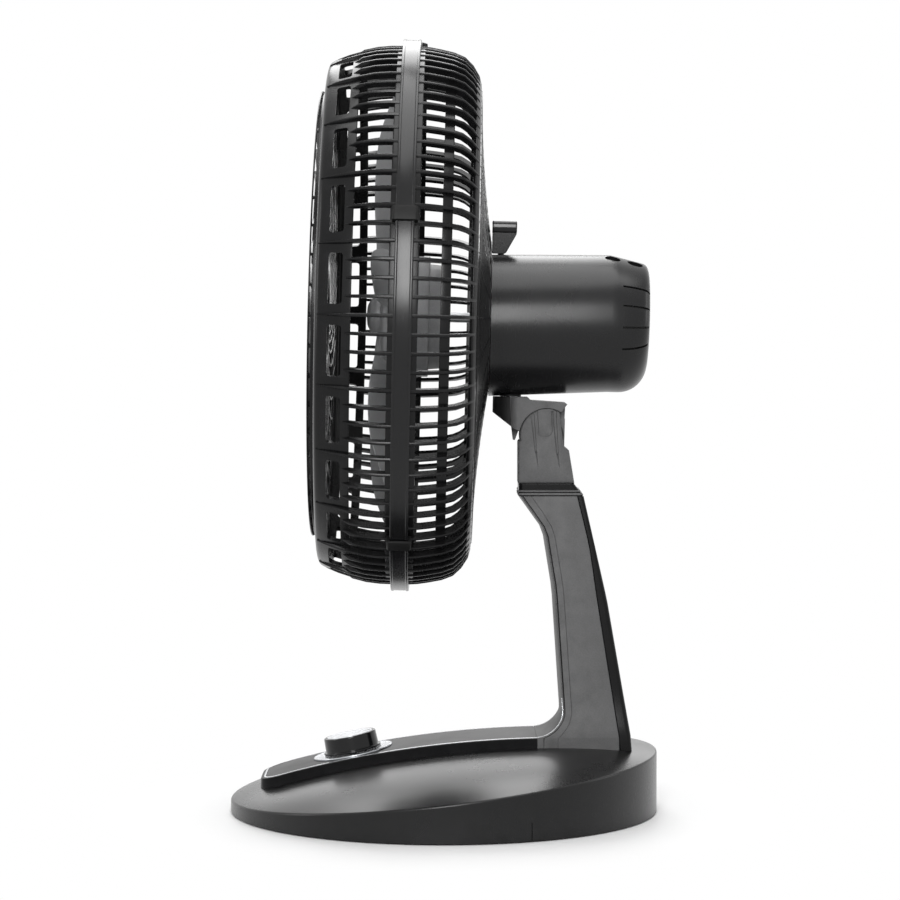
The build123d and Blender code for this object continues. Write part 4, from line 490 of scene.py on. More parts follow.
def plate(name, outline, low, high, plane="XY", matrix=None):
    """A piece pressed out of a closed outline."""
    return object_from(pressed(outline, low, high, plane), name, matrix)


def stacked(name, sections, matrix=None):
    """A piece that joins closed cross-sections of equally many points, with filled ends."""
    bm = bmesh.new()
    rings = [[bm.verts.new(place) for place in section] for section in sections]
    for first, second in zip(rings, rings[1:]):
        for n in range(len(first)):
            m = (n + 1) % len(first)
            bm.faces.new([first[n], first[m], second[m], second[n]])
    bm.faces.new(rings[0])
    bm.faces.new(rings[-1])
    return object_from(bm, name, matrix)


def soften(bm, width, segments=2, angle=35.0):
    """Rounds every edge that is sharper than an angle."""
    bmesh.ops.recalc_face_normals(bm, faces=bm.faces)
    sharp = [edge for edge in bm.edges if len(edge.link_faces) == 2 and edge.calc_face_angle() > radians(angle)]
    bmesh.ops.bevel(bm, geom=sharp, offset=width, segments=segments, profile=0.5, affect="EDGES",
                    clamp_overlap=True)
    return bm


# %% [markdown]
# A piece is often built from helper pieces that are joined to it or cut out of it. At the end each gets
# its finish and the edge attribute, and it is told what it rides on and what it stands for.

# %% Joining, cutting and finishing
PIECES = []
WORN_ANGLE = radians(40)        # an edge that bends this much counts as fully rubbed


def evaluated(piece):
    """Turns an object's live modifiers into its plain mesh."""
    graph = bpy.context.evaluated_depsgraph_get()
    mesh = bpy.data.meshes.new_from_object(piece.evaluated_get(graph))
    piece.modifiers.clear()
    old, piece.data = piece.data, mesh
    mesh.name = piece.name
    if old.users == 0:
        bpy.data.meshes.remove(old)
    return piece


def removed(piece):
    """Takes a helper piece and its mesh out of the file."""
    mesh = piece.data
    bpy.data.objects.remove(piece)
    bpy.data.meshes.remove(mesh)


def joined(name, pieces, matrix=None):
    """Joins pieces into one mesh object, placed by a matrix."""
    bm = bmesh.new()
    for piece in pieces:
        bm.from_mesh(piece.data)
        removed(piece)
    mesh = bpy.data.meshes.new(name)
    bm.to_mesh(mesh)
    bm.free()
    if matrix is not None:
        mesh.transform(matrix)
    return linked(name, mesh)


def cut(piece, cutters, operation="DIFFERENCE"):
    """Cuts a piece with another one and removes the cutter."""
    modifier = piece.modifiers.new("cut", "BOOLEAN")
    modifier.operation = operation
    modifier.solver = "EXACT"
    modifier.object = cutters
    evaluated(piece)
    removed(cutters)
    return piece


def mark_edges(mesh):
    """Writes the edge attribute: how much a point stands out, for the rubbed-edge finish."""
    bm = bmesh.new()
    bm.from_mesh(mesh)
    worn = []
    for vertex in bm.verts:
        bends = [edge.calc_face_angle_signed() for edge in vertex.link_edges if len(edge.link_faces) == 2]
        worn.append(min(1.0, max([0.0, *bends]) / WORN_ANGLE))
    bm.free()
    mesh.attributes.new("edge", "FLOAT", "POINT").data.foreach_set("value", worn)


def finished(piece, material, body, slot, *nodes, angle=38.0, level_faces=False):
    """Gives a piece its finish and its body, and hides the nodes that it stands for. The slot is not used."""
    mesh = piece.data
    mesh.materials.clear()
    mesh.materials.append(material)
    mark_edges(mesh)
    mesh.shade_smooth()
    mesh.set_sharp_from_angle(angle=radians(angle))
    if level_faces:
        piece.modifiers.new("level_faces", "WEIGHTED_NORMAL").keep_sharp = True
        evaluated(piece)
    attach(piece, body)
    if nodes:
        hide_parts(*nodes)
    PIECES.append(piece)
    print(piece.name, len(piece.data.polygons), "faces")
    return piece


# %% [markdown]
# Ribs, clips, bars, spokes and slots all stand in a ring round the fan's axle. One Geometry Nodes tree
# makes every one of them: it copies the object it sits on a number of times round Z, can leave out
# every n-th copy, and ends in real mesh with a material, so nothing is lost when the model is exported.

# %% Geometry Nodes: a ring of copies
def new_geometry_tree(name, numbers):
    """A geometry tree with a named input for each number or place, and the inputs' sockets inside it."""
    tree = bpy.data.node_groups.new(name, "GeometryNodeTree")
    tree.interface.new_socket(name="Geometry", in_out="INPUT", socket_type="NodeSocketGeometry")
    kinds = {int: "NodeSocketInt", float: "NodeSocketFloat", tuple: "NodeSocketVector"}
    for label, value in numbers.items():
        kind = kinds[type(value)]
        tree.interface.new_socket(name=label, in_out="INPUT", socket_type=kind).default_value = value
    tree.interface.new_socket(name="Finish", in_out="INPUT", socket_type="NodeSocketMaterial")
    tree.interface.new_socket(name="Geometry", in_out="OUTPUT", socket_type="NodeSocketGeometry")
    return tree, tree.nodes.new("NodeGroupInput").outputs


def close_tree(tree, given, geometry):
    """Realize Instances and Set Material at the end of a tree."""
    real = wire(tree, "GeometryNodeRealizeInstances", [(geometry, "Geometry")]).outputs[0]
    finish = wire(tree, "GeometryNodeSetMaterial", [(real, "Geometry"), (given["Finish"], "Material")])
    wire(tree, "NodeGroupOutput", [(finish.outputs[0], 0)])
    return tree


def copied(tree, count, instance, *links):
    """Copies of a mesh or curve, all in one place until a link turns or scales them."""
    points = wire(tree, "GeometryNodeMeshLine", [(count, "Count"), ((0, 0, 0), "Offset")], mode="OFFSET")
    return wire(tree, "GeometryNodeInstanceOnPoints",
                [(points.outputs[0], "Points"), (instance, "Instance"), *links]).outputs[0]


def ring_tree():
    """Copies the object's own mesh round Z."""
    tree, given = new_geometry_tree(
        "ring_of_copies", {"Count": 24, "Step Angle": 15.0, "First Angle": 0.0, "Leave Out Every": 0})
    index = wire(tree, "GeometryNodeInputIndex").outputs[0]
    turn = maths(tree, "RADIANS", maths(tree, "MULTIPLY_ADD", index, given["Step Angle"], given["First Angle"]))
    rotation = wire(tree, "ShaderNodeCombineXYZ", [(turn, "Z")]).outputs[0]
    every = given["Leave Out Every"]
    kept = maths(tree, "GREATER_THAN", maths(tree, "MODULO", index, maths(tree, "MAXIMUM", every, 0.5)), 0.25)
    chosen = maths(tree, "MAXIMUM", kept, maths(tree, "LESS_THAN", every, 0.5))
    copies = copied(tree, given["Count"], given["Geometry"], (chosen, "Selection"), (rotation, "Rotation"))
    return close_tree(tree, given, copies)


def grow(piece, tree, finish, values):
    """Runs a geometry tree on a piece with its own numbers and keeps the mesh it makes."""
    modifier = piece.modifiers.new(tree.name, "NODES")
    modifier.node_group = tree
    values = {"Finish": finish, **values}
    for item in tree.interface.items_tree:
        if item.item_type == "SOCKET" and item.in_out == "INPUT" and item.name in values:
            modifier[item.identifier] = values[item.name]
    return evaluated(piece)


def ringed(piece, count, first=0.0, step=None, every=0, finish=cage_plastic):
    """Copies a piece round its Z axis."""
    return grow(piece, RING, finish, {
        "Count": count, "Step Angle": step or 360.0 / count, "First Angle": first, "Leave Out Every": every})


RING = ring_tree()
print("ring tree with", len(RING.nodes), "nodes")

# %% [markdown]
# The cage's ribs are thin moulded blades that taper towards the front ring, where they end in a point.
# A rib is built once from a few cross-sections, each given by its outer point, its inner point and its
# half thickness, with the outer edge narrowed so that it catches a thin line of light.

# %% Cage ribs
CAGE_R = 214.6
RIB_DEPTH = 4.8
RIB_COUNT = 96
LONG_EVERY = 4          # every fourth rib reaches the front ring
LONG_COUNT = RIB_COUNT // LONG_EVERY


def rib(name, sections, crown=0.7, narrowed=0.45):
    """One rib from ((radius, station) outer, (radius, station) inner, half thickness) sections."""
    rings = []
    for outer, inner, half in sections:
        outside, inside = Vector(outer), Vector(inner)
        shoulder = outside + (inside - outside).normalized() * crown
        places = [(inside, half), (shoulder, half), (outside, half * narrowed), (outside, -half * narrowed),
                  (shoulder, -half), (inside, -half)]
        rings.append([(place[0], side, place[1]) for place, side in places])
    return stacked(name, rings)


def on_cage(line):
    """A line of (drop below the cage's outside, station) places as (radius, station) places."""
    return [(CAGE_R - drop, station) for drop, station in line]


def front_rib(name, line, halves):
    """A rib whose inner line is its outer line moved straight inwards."""
    return rib(name, [((radius, station), (radius - RIB_DEPTH, station), half)
                      for (radius, station), half in zip(on_cage(line), halves)])


side_line = [(0.4, -6.0), (0.5, -16.0), (1.6, -27.0), (4.2, -38.0)]
short_rib = front_rib("short_ribs", [*side_line, (8.3, -43.6)], [1.5, 1.4, 1.3, 1.1, 0.25])
long_rib = front_rib("long_ribs", [*side_line, (7.8, -50.0), (11.0, -58.0), (13.8, -63.4)],
                     [1.5, 1.45, 1.4, 1.3, 1.1, 0.7, 0.3])
short_ribs = ringed(short_rib, RIB_COUNT, every=LONG_EVERY)
long_ribs = ringed(long_rib, LONG_COUNT)

rear_outer = on_cage([(0.4, 6.0), (1.0, 14.0), (2.4, 22.5), (4.6, 33.0), (8.2, 41.9), (14.6, 48.5),
                      (22.6, 53.4), (29.4, 55.2)])
rear_inner = on_cage([(5.2, 6.0), (5.8, 14.0), (7.2, 22.0), (9.4, 32.0), (12.8, 39.2), (18.0, 44.8),
                      (24.4, 48.8), (29.4, 50.8)])
rear_halves = [1.5, 1.45, 1.4, 1.35, 1.3, 1.25, 1.15, 0.9]
rear_ribs = ringed(rib("rear_ribs", zip(rear_outer, rear_inner, rear_halves)), RIB_COUNT)
print("ribs:", len(short_ribs.data.polygons), len(long_ribs.data.polygons), len(rear_ribs.data.polygons))

# %% [markdown]
# The ring at the front is one stiff hoop with a window between every two long ribs. It is turned from
# its outline, and 24 rounded plugs, which the ring tree lays out, cut the windows. The rims that meet
# under the band and the hoop behind it are turned too.

# %% Windowed ring, rims and hoop
front_ring = turned("front_ring", [
    (-38.0, 207.6, 1.2), (-50.0, 204.4), (-60.5, 201.4), (-63.8, 199.4, 1.6), (-65.3, 195.6, 1.6),
    (-65.3, 189.0, 0.6), (-62.3, 189.0, 0.6), (-62.3, 193.6, 1.0), (-59.7, 196.4), (-50.0, 201.4),
    (-38.0, 204.6, 1.0)], 192)
windows = plate("windows", rounded(rectangle(-19.0, 19.0, -55.2, -44.8, 2.6)), 186.0, 214.0, "YZ")
cut(front_ring, ringed(windows, LONG_COUNT, first=180 / LONG_COUNT))

rim_outline = [(-11.0, 209.8, 0.8), (-0.2, 209.8, 0.5), (-0.2, 216.8, 0.5), (-4.4, 216.8, 0.5),
               (-4.4, 213.1), (-11.0, 213.1, 1.0)]
front_rim = turned("front_rim", rim_outline, 144)
rear_rim = turned("rear_rim", [(-station, *rest) for station, *rest in rim_outline], 144)
hoop = turned("hoop", [(27.4, 203.0, 0.8), (34.9, 203.0, 0.8), (34.9, 205.2, 0.8), (27.4, 206.4, 0.8)], 192)
corner_ring = turned("corner_ring", [(51.6, 194.0, 1.2), (54.4, 189.0, 1.0), (55.6, 180.6, 0.8),
                                     (52.4, 180.6, 0.8), (51.2, 187.6), (48.8, 192.0, 1.0)], 144)
print("ring and rims:", len(front_ring.data.polygons), len(corner_ring.data.polygons))

# %% [markdown]
# Both grilles are bars on a path: curved arms that sweep outwards at the front, and round hoops at the
# front and the rear. One tree draws the arms through three points, the other draws hoops whose station
# follows the dished face. Both give the bars the same softly rounded section.

# %% Geometry Nodes: arms and hoops
DISH_OUTSIDE = 180.4
DISH_INSIDE = 61.0
DISH_POWER = 1.75
BAR = {"Bar Width": 2.4, "Bar Depth": 6.2, "Bar Corner": 0.6}


def swept(tree, given, curve):
    """A softly rounded bar along a curve, with its width kept level."""
    section = wire(tree, "GeometryNodeCurvePrimitiveQuadrilateral",
                   [(given["Bar Width"], "Width"), (given["Bar Depth"], "Height")]).outputs[0]
    soft = wire(tree, "GeometryNodeFilletCurve",
                [(section, "Curve"), (2, "Count"), (given["Bar Corner"], "Radius")], mode="POLY").outputs[0]
    level = wire(tree, "GeometryNodeSetCurveNormal", [(curve, "Curve")], mode="Z_UP").outputs[0]
    return wire(tree, "GeometryNodeCurveToMesh", [(level, "Curve"), (soft, 1), (True, "Fill Caps")]).outputs[0]


def arms_tree():
    """One curved bar through three points, copied round Z by the ring tree afterwards."""
    tree, given = new_geometry_tree(
        "curved_arm", {"From": (0.0, 0.0, 0.0), "Through": (1.0, 0.0, 0.0), "To": (2.0, 1.0, 0.0), **BAR})
    links = [(20, "Resolution"), (given["From"], "Start"), (given["Through"], "Middle"), (given["To"], "End")]
    arc = wire(tree, "GeometryNodeCurveArc", links, mode="POINTS")
    return close_tree(tree, given, swept(tree, given, arc.outputs[0]))


def hoops_tree():
    """Round hoops, evenly spaced, on a face that is dished by a power of the way in."""
    tree, given = new_geometry_tree("hoops", {
        "Count": 3, "First Radius": 64.0, "Radius Step": 38.0, "Station": 0.0, "Dish Depth": 0.0,
        "Dish Outside": DISH_OUTSIDE, "Dish Inside": DISH_INSIDE, "Dish Power": DISH_POWER, **BAR})
    index = wire(tree, "GeometryNodeInputIndex").outputs[0]
    radius = maths(tree, "MULTIPLY_ADD", index, given["Radius Step"], given["First Radius"])
    circle = wire(tree, "GeometryNodeCurvePrimitiveCircle", [(128, "Resolution"), (1.0, "Radius")]).outputs[0]
    copies = copied(tree, given["Count"], circle, (radius, "Scale"))
    hoops = wire(tree, "GeometryNodeRealizeInstances", [(copies, "Geometry")]).outputs[0]
    place = wire(tree, "GeometryNodeInputPosition").outputs[0]
    here = wire(tree, "ShaderNodeVectorMath", [(place, 0)], operation="LENGTH").outputs["Value"]
    share = span(tree, here, given["Dish Outside"], given["Dish Inside"])
    dish = maths(tree, "POWER", share, given["Dish Power"])
    station = maths(tree, "MULTIPLY_ADD", dish, given["Dish Depth"], given["Station"])
    lift = wire(tree, "ShaderNodeCombineXYZ", [(station, "Z")]).outputs[0]
    moved = wire(tree, "GeometryNodeSetPosition", [(hoops, "Geometry"), (lift, "Offset")]).outputs[0]
    return close_tree(tree, given, swept(tree, given, moved))


def grown(name, tree, **values):
    """An object that a tree fills by itself."""
    values = {label.replace("_", " "): value for label, value in values.items()}
    return grow(object_from(bmesh.new(), name), tree, cage_plastic, values)


ARM = arms_tree()
HOOPS = hoops_tree()
print("bar trees with", len(ARM.nodes), "and", len(HOOPS.nodes), "nodes")

# %% [markdown]
# The front grille: 48 arms that sweep 38 degrees on their way out, three hoops and two rings. The outer
# ring stands proud of the cage and has a slit round its side, which the arms cross. The grille clips
# into the windowed ring by a thin rim. The cap in its middle is plain.

# %% Front grille and cap
GRILLE_FRONT = -71.0
GRILLE_DEPTH = 8.0
GRILLE_BACK = GRILLE_FRONT + GRILLE_DEPTH
GRILLE_MIDDLE = GRILLE_FRONT + GRILLE_DEPTH / 2
GRILLE_RIM_FRONT = -65.3
ARM_COUNT = 48
ARM_SWEEP = radians(38)
ARM_BEND = 165.0
ARM_INSIDE, ARM_OUTSIDE = 41.0, 176.0
SLIT = (GRILLE_FRONT + 1.2, GRILLE_FRONT + 2.6)


def arc_middle(start, end, radius):
    """The middle point of a left-bending arc of a radius between two points."""
    chord = Vector(end) - Vector(start)
    side = Vector((-chord.y, chord.x)).normalized()
    rise = radius - sqrt(radius * radius - chord.length_squared / 4)
    return (Vector(start) + Vector(end)) / 2 - side * rise


arm_start = (ARM_INSIDE, 0.0)
arm_end = (ARM_OUTSIDE * cos(ARM_SWEEP), ARM_OUTSIDE * sin(ARM_SWEEP))
arm_through = arc_middle(arm_start, arm_end, ARM_BEND)
arms = grown("arms", ARM, From=(*arm_start, GRILLE_MIDDLE), Through=(*arm_through, GRILLE_MIDDLE),
             To=(*arm_end, GRILLE_MIDDLE), Bar_Depth=GRILLE_DEPTH)
print("one arm spans", [round(size, 2) for size in arms.dimensions])
ringed(arms, ARM_COUNT)
grille_hoops = grown("grille_hoops", HOOPS, Station=GRILLE_MIDDLE, Bar_Depth=GRILLE_DEPTH)
print("hoops span", [round(size, 2) for size in grille_hoops.dimensions])
flat_rings = []
for inner, outer, front, back in [
        (35.0, 43.0, GRILLE_FRONT, GRILLE_BACK), (173.8, 177.0, GRILLE_FRONT, SLIT[0]),
        (173.8, 177.0, SLIT[1], GRILLE_BACK)]:
    flat_rings.append(turned("flat_ring", rectangle(front, back, inner, outer, 0.5), 160))
thin_rim = turned("thin_rim", rectangle(GRILLE_RIM_FRONT, GRILLE_BACK, 187.0, 188.8), 128)
rim_bar = plate("rim_bars", rectangle(176.4, 187.6, GRILLE_RIM_FRONT, GRILLE_BACK), -1.2, 1.2, "XZ")
rim_bars = ringed(rim_bar, ARM_COUNT)
front_grille = joined("front_grille_dress", [arms, grille_hoops, rim_bars, *flat_rings, thin_rim], AXLE)
finished(front_grille, cage_plastic, "head", "cage_black", "front_grille")

front_cap = turned("front_cap_dress", [
    (-72.0, 0.0), (-72.2, 24.0), (-72.6, 34.0, 1.0), (-72.6, 41.0, 0.9), (-71.2, 41.0, 0.3), (-71.2, 34.8),
    (-65.2, 34.8, 0.3), (-65.2, 32.0, 0.3), (-71.0, 32.0), (-71.0, 0.0)], 96, AXLE, 4)
finished(front_cap, cap_plastic, "head", "cap_black", "front_cap")

# %% [markdown]
# The rear grille is fourteen hoops on 24 spokes round a plate that screws on to the motor. Its face
# deepens slowly towards the motor, so hoops and spokes follow the same curve.

# %% Rear grille
DISH_STATION = 56.0
DISH_DEPTH = 10.2
REAR_BAR_DEPTH = 4.0
SPOKE_HALF = 1.15
PLATE_R = 62.0
HOOP_COUNT = 14
HOOP_STEP = (DISH_OUTSIDE - PLATE_R) / (HOOP_COUNT + 1)


def dished(radius):
    """Station of the rear face at a radius."""
    share = (DISH_OUTSIDE - radius) / (DISH_OUTSIDE - DISH_INSIDE)
    return DISH_STATION + DISH_DEPTH * max(share, 0.0) ** DISH_POWER


rear_hoops = grown("rear_hoops", HOOPS, Count=HOOP_COUNT, First_Radius=PLATE_R + HOOP_STEP,
                   Radius_Step=HOOP_STEP, Station=DISH_STATION - REAR_BAR_DEPTH / 2, Dish_Depth=DISH_DEPTH,
                   Bar_Width=2.6, Bar_Depth=REAR_BAR_DEPTH, Bar_Corner=0.7)
spoke_radii = [DISH_OUTSIDE - (DISH_OUTSIDE - DISH_INSIDE) * n / 10 for n in range(11)]
spoke_sections = [((r, dished(r)), (r, dished(r) - REAR_BAR_DEPTH), SPOKE_HALF) for r in spoke_radii]
spokes = ringed(rib("spokes", spoke_sections), LONG_COUNT)
rear_plate = turned("rear_plate", [
    (63.5, 24.2, 0.5), (66.3, 24.2, 0.8), (66.3, 33.0, 0.3), (65.7, 34.0, 0.3), (65.7, 56.0, 0.3),
    (66.3, 57.0, 0.3), (66.3, PLATE_R, 0.9), (63.5, PLATE_R, 0.5)])
rear_rim_bar = turned("rear_rim_bar", [(52.0, 177.8, 0.7), (56.0, 177.8, 0.9), (56.0, 180.4, 0.4),
                                       (52.0, 180.4, 0.4)], 144)
rear_grille = joined("rear_grille_dress", [rear_hoops, spokes, rear_plate, rear_rim_bar], AXLE)
finished(rear_grille, cage_plastic, "head", "cage_black", "rear_grille")

# %% [markdown]
# Now the two cage halves are put together from their ribs, rims and rings, each as one moulding.

# %% Cage halves
front_cage = joined("front_cage_dress", [short_ribs, long_ribs, front_ring, front_rim], AXLE)
finished(front_cage, cage_plastic, "head", "cage_black", "front_cage")
rear_cage = joined("rear_cage_dress", [rear_ribs, rear_rim, hoop, corner_ring], AXLE)
finished(rear_cage, cage_plastic, "head", "cage_black", "rear_cage")

# %% [markdown]
# A rolled channel holds the two rims together. Its outer face has a raised line at each edge, where it
# catches the light. Four bent clips grip it, and a small latch behind it at the top holds it shut.

# %% Band and clips
BAND_R = 219.4
BAND_HALF = 7.0
BAND_INNER = 213.8
BAND_DIP = BAND_R - 0.5
band = turned("cage_band_dress", [
    (-BAND_HALF, BAND_INNER, 0.4), (-BAND_HALF, BAND_R, 1.6), (-5.2, BAND_R, 0.3), (-4.8, BAND_DIP, 0.2),
    (4.8, BAND_DIP, 0.2), (5.2, BAND_R, 0.3), (BAND_HALF, BAND_R, 1.6), (BAND_HALF, BAND_INNER, 0.4),
    (4.6, BAND_INNER), (4.6, 217.0), (-4.6, 217.0), (-4.6, BAND_INNER)], 216, AXLE, 4)
finished(band, band_plastic, "head", "band_black", "cage_band")

clip_outline = rounded([
    (214.9, -9.5, 0.3), (220.2, -9.5, 0.8), (221.5, -8.2, 0.8), (221.5, 8.2, 0.8), (220.2, 9.5, 0.8),
    (214.9, 9.5, 0.3), (214.9, 7.2), (219.6, 7.2), (219.6, -7.2), (214.9, -7.2)])
clip = object_from(soften(pressed(clip_outline, -5.5, 5.5, "XZ"), 0.5, 2, 50), "clips")
ringed(clip, 4, first=160.0, step=72.0, finish=clip_plastic)
tab = pressed([(214.8, 7.2), (218.6, 7.2), (217.4, 11.6), (214.8, 11.6)], -4.0, 4.0, "XZ")
tab = ringed(object_from(soften(tab, 0.5), "latch_tab"), 1, first=88.0, finish=clip_plastic)
clips = joined("band_clips_dress", [clip, tab], AXLE)
finished(clips, clip_plastic, "head", "band_black", "band_clips")

# %% [markdown]
# The propeller is one moulding: six broad blades on a hub. A blade is a pile of bowed sections between
# root and tip; each has a chord, an axial rise and a thickness that falls away towards both edges.

# %% Propeller
BLADE_REAR = 6.0
BLADE_THICKNESS = 2.2
BLADE_BOW = 0.05                # of the chord
BLADE_LAYERS = 12
BLADE_POINTS = 10
TIP_FROM = 0.86                 # share of the blade's length where its corners start to round off
BLADE_ROWS = [(44.0, 40.0, 31.0), (90.0, 78.0, 34.0), (140.0, 102.0, 31.0), (186.0, 100.0, 17.0)]


def blend(rows, share):
    """A row between rows, along a smooth curve through them."""
    place = share * (len(rows) - 1)
    n = min(int(place), len(rows) - 2)
    t = place - n
    before, first, second, after = rows[max(n - 1, 0)], rows[n], rows[n + 1], rows[min(n + 2, len(rows) - 1)]
    return [0.5 * (2 * b + (c - a) * t + (2 * a - 5 * b + 4 * c - d) * t * t + (3 * b - a - 3 * c + d) * t ** 3)
            for a, b, c, d in zip(before, first, second, after)]


def blade_section(share):
    """One closed section of the blade, at a share of its length."""
    radius, chord, axial = blend(BLADE_ROWS, share)
    tip = max(0.0, share - TIP_FROM) / (1 - TIP_FROM)
    half = sqrt(chord * chord - axial * axial) / 2 * (1 - 0.10 * tip ** 2)
    top, bottom = [], []
    for n in range(BLADE_POINTS + 1):
        across = 2 * n / BLADE_POINTS - 1
        y = half * across
        bow = chord * BLADE_BOW * (1 - across ** 2)
        middle = BLADE_REAR + axial / 2 * (across - 1) + bow + BLADE_THICKNESS / 2
        thick = BLADE_THICKNESS / 2 * (1 - 0.65 * abs(across) ** 6)
        x = radius - share * (radius - sqrt(radius * radius - y * y))
        top.append((x, y, middle + thick))
        bottom.append((x, y, middle - thick))
    return top + bottom[::-1]


blade = stacked("blades", [blade_section(n / BLADE_LAYERS) for n in range(BLADE_LAYERS + 1)])
hub = turned("hub", [
    (-20.0, 4.02), (-20.0, 40.0, 2.0), (-17.6, 45.6, 2.0), (-12.0, 48.0, 2.0), (18.0, 48.0, 1.2),
    (18.0, 42.0), (28.0, 41.0, 0.6), (28.0, 38.4, 0.6), (-12.0, 38.4), (-16.0, 36.0), (-16.0, 12.0),
    (28.0, 10.0, 0.6), (28.0, 4.02)])
propeller = joined("propeller_dress", [ringed(blade, 6, finish=blade_plastic), hub], AXLE)
finished(propeller, blade_plastic, "rotor", "blade_grey", "propeller")
nut = turned("blade_nut_dress", [
    (-20.2, 4.02), (-20.2, 16.0, 0.8), (-24.0, 16.0, 1.5), (-28.6, 13.0, 1.5), (-31.2, 8.0, 1.5), (-32.0, 0.0),
    (-28.0, 0.0), (-28.0, 4.02)], 48, AXLE)
finished(nut, blade_plastic, "rotor", "blade_grey", "blade_nut")

# %% [markdown]
# The motor sits in a drawn tube whose rear end is rounded below and slopes down a little at the top.
# Its section is a circle between a top line and a bottom line, so one function gives the outside and,
# moved inwards by the wall, the inside. Four slots on each side and four round holes in the sloping
# top let the warm air out at the rear. A thin dark sheet lies behind them as painted shade, so that no
# light shows through and the vents look dark inside.

# %% Motor housing
HOUSING_FRONT = 66.8
HOUSING_REAR = 192.0
HOUSING_WAIST = 161.0
HOUSING_WALL = 2.4
HOUSING_STEPS = 96
FRONT_TOP, WAIST_TOP, TOP_FALL = 50.9, 52.7, 7.2
FRONT_BOTTOM, WAIST_BOTTOM = -62.1, -56.6
BOTTOM_CORNER = 22.0
TOP_CORNER = 5.0
VENT_MIDDLE = Matrix.Translation((0, (WAIST_TOP + WAIST_BOTTOM) / 2, 0))
VENT_HALF = 0.85
VENT_STEP = 18.5                # degrees from slot to slot
AIR_HOLE_R = 6.2
# Where the dark sheet of painted shade behind the vents begins.
VENT_SHADE_FRONT = 140.0
STEM = HEAD @ Matrix.Translation((0, 74.0, 0))
SLEEVE = HEAD @ Matrix.Translation((0, 84.4, 0))


def corner_drop(station, rear, corner):
    """How far a rounded rear corner has come down at a station."""
    into = station - (rear - corner)
    return corner - sqrt(max(corner * corner - into * into, 0.0)) if into > 0 else 0.0


def housing_lines(station, inset):
    """Top and bottom heights of the housing at a station."""
    rear = HOUSING_REAR - inset
    share = min(1.0, (station - HOUSING_FRONT) / (HOUSING_WAIST - HOUSING_FRONT))
    sloped = max(0.0, station - HOUSING_WAIST) / (HOUSING_REAR - HOUSING_WAIST)
    top = FRONT_TOP + (WAIST_TOP - FRONT_TOP) * share - TOP_FALL * sloped - inset
    bottom = FRONT_BOTTOM + (WAIST_BOTTOM - FRONT_BOTTOM) * share + inset
    return (top - corner_drop(station, rear, TOP_CORNER - inset),
            bottom + corner_drop(station, rear, BOTTOM_CORNER - inset))


def housing_skin(name, inset, front):
    """The housing's closed skin, moved inwards by an inset."""
    rear, corner = HOUSING_REAR - inset, BOTTOM_CORNER - inset
    stations = [front, *[s for s in (74.0, 95.0, 115.0, 140.0, HOUSING_WAIST, 167.0) if s > front]]
    stations += [rear - corner * (1 - sin(radians(7.5 * n))) for n in range(13)]
    rows = []
    for station in stations:
        top, bottom = housing_lines(station, inset)
        middle, radius = (top + bottom) / 2, (top - bottom) / 2
        angles = [2 * pi * n / HOUSING_STEPS for n in range(HOUSING_STEPS)]
        rows.append([(radius * cos(angle), middle + radius * sin(angle), station) for angle in angles])
    return stacked(name, rows)


def rod(radius, low, high, matrix, steps=32):
    """A plain round rod along Z."""
    return turned("rod", [(low, 0.0), (low, radius), (high, radius), (high, 0.0)], steps, matrix)


housing = housing_skin("motor_housing_dress", 0.0, HOUSING_FRONT)
cut(housing, housing_skin("housing_inside", HOUSING_WALL, HOUSING_FRONT - 1.0))
vent = rounded([(41.7, 170.0, 1.5), (70.0, 170.0), (70.0, 200.0), (41.7, 200.0)])
for first_angle in (-21.5, 146.0):
    vents = plate("vents", vent, -VENT_HALF, VENT_HALF, "XZ")
    ringed(vents, 4, first=first_angle, step=VENT_STEP, finish=housing_plastic)
    vents.data.transform(VENT_MIDDLE)
    cut(housing, vents)
for angle in (73.0, 107.0):
    aim = Matrix.Rotation(radians(angle), 4, "Z") @ Matrix.Rotation(radians(90), 4, "Y")
    for station in (162.6, 180.5):
        cut(housing, rod(AIR_HOLE_R, 36.9, 70.0, VENT_MIDDLE @ Matrix.Translation((0, 0, station)) @ aim))
housing.data.transform(AXLE)
cut(housing, rod(2.7, 44.0, 56.0, STEM))
cut(housing, rod(8.75, -66.0, -52.0, SLEEVE))
finished(housing, housing_plastic, "head", "housing_black", "motor_housing", level_faces=True)

# A dark sheet just inside the housing, behind the vents: painted shade, so that the vents read dark.
vent_shade_sheet = housing_skin("vent_shade_sheet_dress", HOUSING_WALL + 0.3, VENT_SHADE_FRONT)
cut(vent_shade_sheet, housing_skin("vent_shade_inside", HOUSING_WALL + 1.1, VENT_SHADE_FRONT - 1.0))
vent_shade_sheet.data.transform(AXLE)
finished(vent_shade_sheet, under_plastic, "head", "inner_plastic")

# %% [markdown]
# The oscillation knob is a small bar on a wedge. Pulled up, it lets the head swing. Its stem goes
# through the housing, so it moves with the fork inside.

# %% Oscillation knob
bar_outline = rounded(rectangle(-6.0, 6.0, 67.4, 78.0, 4.6), 5)
wedge_outline = rounded([(66.8, 72.7), (86.2, 72.7), (86.2, 67.4, 1.0), (77.6, 51.6, 1.6), (66.8, 51.6, 1.0)])
bar = soften(pressed(bar_outline, 66.6, 86.4, "XZ"), 1.1, 3, 50)
wedge = soften(pressed(wedge_outline, -4.6, 4.6, "YZ"), 0.7, 2, 50)
knob = object_from(bar, "oscillation_knob_dress", HEAD)
cut(knob, object_from(wedge, "wedge", HEAD), "UNION")
cut(knob, rod(2.5, 13.6, 54.0, STEM), "UNION")
finished(knob, dial_plastic, "oscillation_knob", "housing_black", "oscillation_knob", level_faces=True)

# %% [markdown]
# The base is a dish that is pressed over a sloping rim: its top is a surface turned round a leaning
# axis, cut off by an upright round wall. The height of that surface at any place is found by stepping
# up until the place lies on it. Strip and trim are drawn flat and then draped over the same surface.

